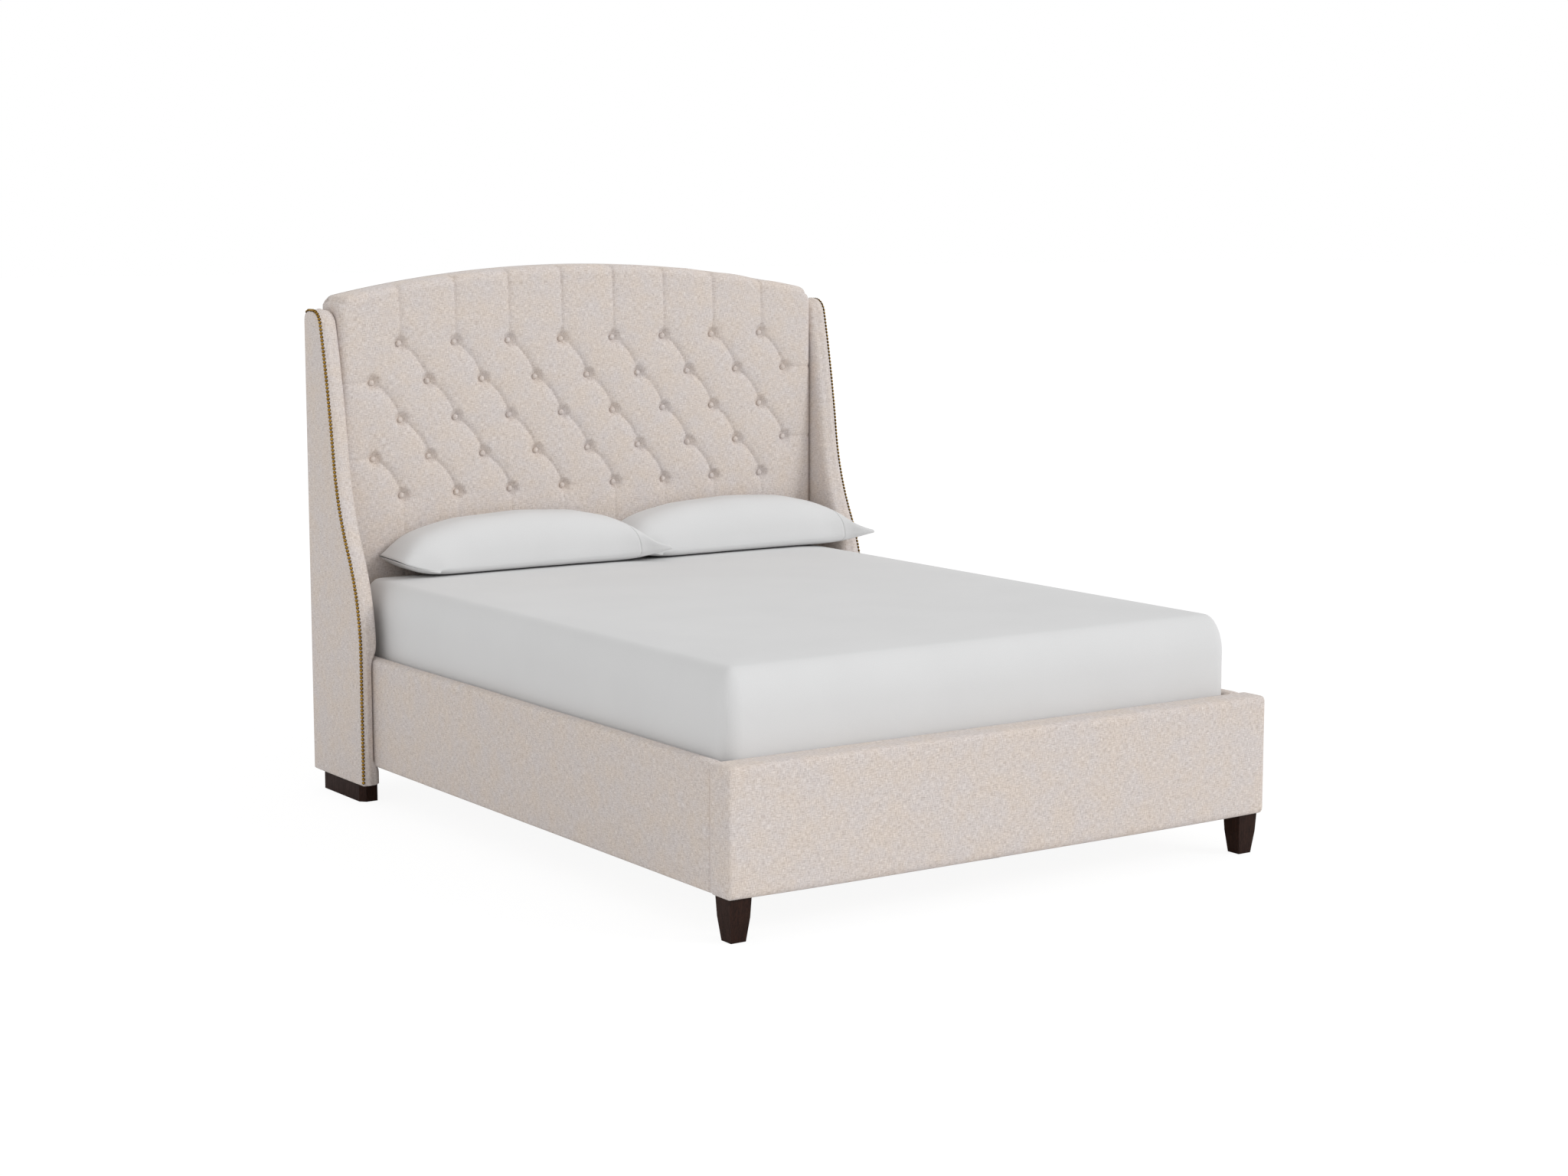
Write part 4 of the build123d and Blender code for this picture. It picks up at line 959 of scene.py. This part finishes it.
def make_filling(start):
    """The stuffed pillow inside its case: its sections, drawn together at both ends by (1 - |2 v - 1|^6)^0.5
    with v along it."""
    inset, end_share, length_share, least_end = 7, 0.055, 0.8, 0.05
    along = end_share + length_share * (0.5 - 0.5 * np.cos(np.linspace(0, math.pi, 60)))
    around = np.linspace(0, 2 * math.pi, 65)[:-1]
    y, z = pillow_surface(along, around, inset)
    ends = np.clip(1 - np.abs(2 * (along - along[0]) / (along[-1] - along[0]) - 1) ** 6, 0, 1) ** 0.5
    ends = np.maximum(ends, least_end)[:, None]
    middle = (y.max(1, keepdims=True) + y.min(1, keepdims=True)) / 2
    y = middle + (y - middle) * ends
    z = z.mean(1, keepdims=True) + (z - z.mean(1, keepdims=True)) * ends
    return np.stack([start + along[:, None] * pillow_length + 0 * y, y, z], -1), tube_faces(*y.shape)


for name, phase in (("left", 0.4), ("right", 2.1)):
    body = name + "_pillow"
    start = node_box(name + "_pillowcase")[0][0]
    filling = make_piece(name + "_pillow_filling", *make_filling(start), ticking, body, "pillow_ticking")
    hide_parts(body)
    case = make_piece(name + "_cotton_case", *make_case(start, phase), cotton, body, "sheet_cotton")
    wall = case.modifiers.new("cloth", "SOLIDIFY")
    wall.thickness = 0.0008
    wall.offset = -1
    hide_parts(name + "_pillowcase")


# Webbing: two black straps stapled under the slats keep them evenly apart. They sag slightly in waves.
def make_webbing():
    """Black polypropylene tape with a fine rib across."""
    material, tree = new_material("black_webbing")
    place, across, along = thread_place(tree)
    rib = streaks(tree, across, along, 900, 300)
    return shaded(material, {
        "Base Color": blended(tree, rib, "#141414", "#343434"), "Normal": bump(tree, rib, 0.4, 0.0004),
        "Roughness": 0.7,
    })


webbing = make_webbing()
strap_low, strap_high = node_box("slat_webbing")
strap_width, strap_gap, strap_wave, wave_length = 25, 0.2, 0.35, 30
strap_middle = strap_high[0] - strap_width / 2
for side, name in sides:
    y = np.linspace(strap_low[1], strap_high[1], 160)[:, None]
    x = side * strap_middle + np.linspace(-0.5, 0.5, 5) * strap_width + 0 * y
    z = strap_high[2] - strap_gap - strap_wave * (1 + np.sin(y / wave_length)) + 0 * x
    points = np.stack([x, y + 0 * x, z], -1)
    strap = make_piece(name + "_strap", points, grid_faces(*x.shape), webbing, slot="webbing")
    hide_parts("slat_webbing")


# Timber, feet and fittings: planed pine and ply inside, dark stained block feet, zinc plated brackets and
# bolts, and nylon glides. These CAD pieces stay and get their finishes, with grain along their longest side.
def make_wood(name, dark, light, scales):
    """Planed wood: long grain lines that wander a little, in two tones, with finer pores across them."""
    material, tree = new_material(name)
    place = add_node(tree, "TexCoord").outputs["Object"]
    stretched = add_node(tree, "VectorMath", {0: place, 1: scales}, operation="MULTIPLY")
    grain = noise(tree, stretched, 1, 6, 0.62, 0.8)
    tone = maths(tree, "ADD", grain, noise(tree, stretched, 6, 2))
    return shaded(material, {
        "Base Color": blended(tree, spread(tree, tone, 0.75, 1.25), dark, light),
        "Roughness": spread(tree, tone, 0.75, 1.25, 0.7, 0.52), "Specular IOR Level": 0.18,
        "Normal": bump(tree, tone, 0.25, 0.0004),
    })


def make_fitting(name, low, high, metallic, roughness):
    """Zinc plated steel or moulded nylon: even, with faint patches in tone and gloss."""
    material, tree = new_material(name)
    place = add_node(tree, "TexCoord").outputs["Object"]
    patch = noise(tree, place, 90, 4)
    return shaded(material, {
        "Base Color": blended(tree, spread(tree, patch, 0.35, 0.65), low, high), "Metallic": metallic,
        "Roughness": spread(tree, patch, 0.3, 0.7, roughness - 0.06, roughness + 0.1),
        "Normal": bump(tree, patch, 0.1, 0.0003),
    })


finishes = {
    "espresso_wood": make_wood("espresso_wood", "#190B06", "#30180E", (150, 150, 14)),
    "zinc_steel": make_fitting("zinc_steel", "#8D9093", "#B9BDC0", 1, 0.38),
    "glide_nylon": make_fitting("black_nylon", "#101010", "#242424", 0, 0.5),
}
pine_scales = {"pine_across": (9, 120, 120), "pine_along": (120, 9, 120), "pine_upright": (120, 120, 9)}
pines = [make_wood(name, "#B98F5E", "#DDBD8C", scales) for name, scales in pine_scales.items()]
slots = {part["node"]: part["material_slot"] for part in frame["record"]["subparts"]}
for name, node in frame["nodes"].items():
    low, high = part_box(name)
    longest = np.argmax(np.subtract(high, low))
    node.data.materials.clear()
    node.data.materials.append(finishes.get(slots[name], pines[longest]))
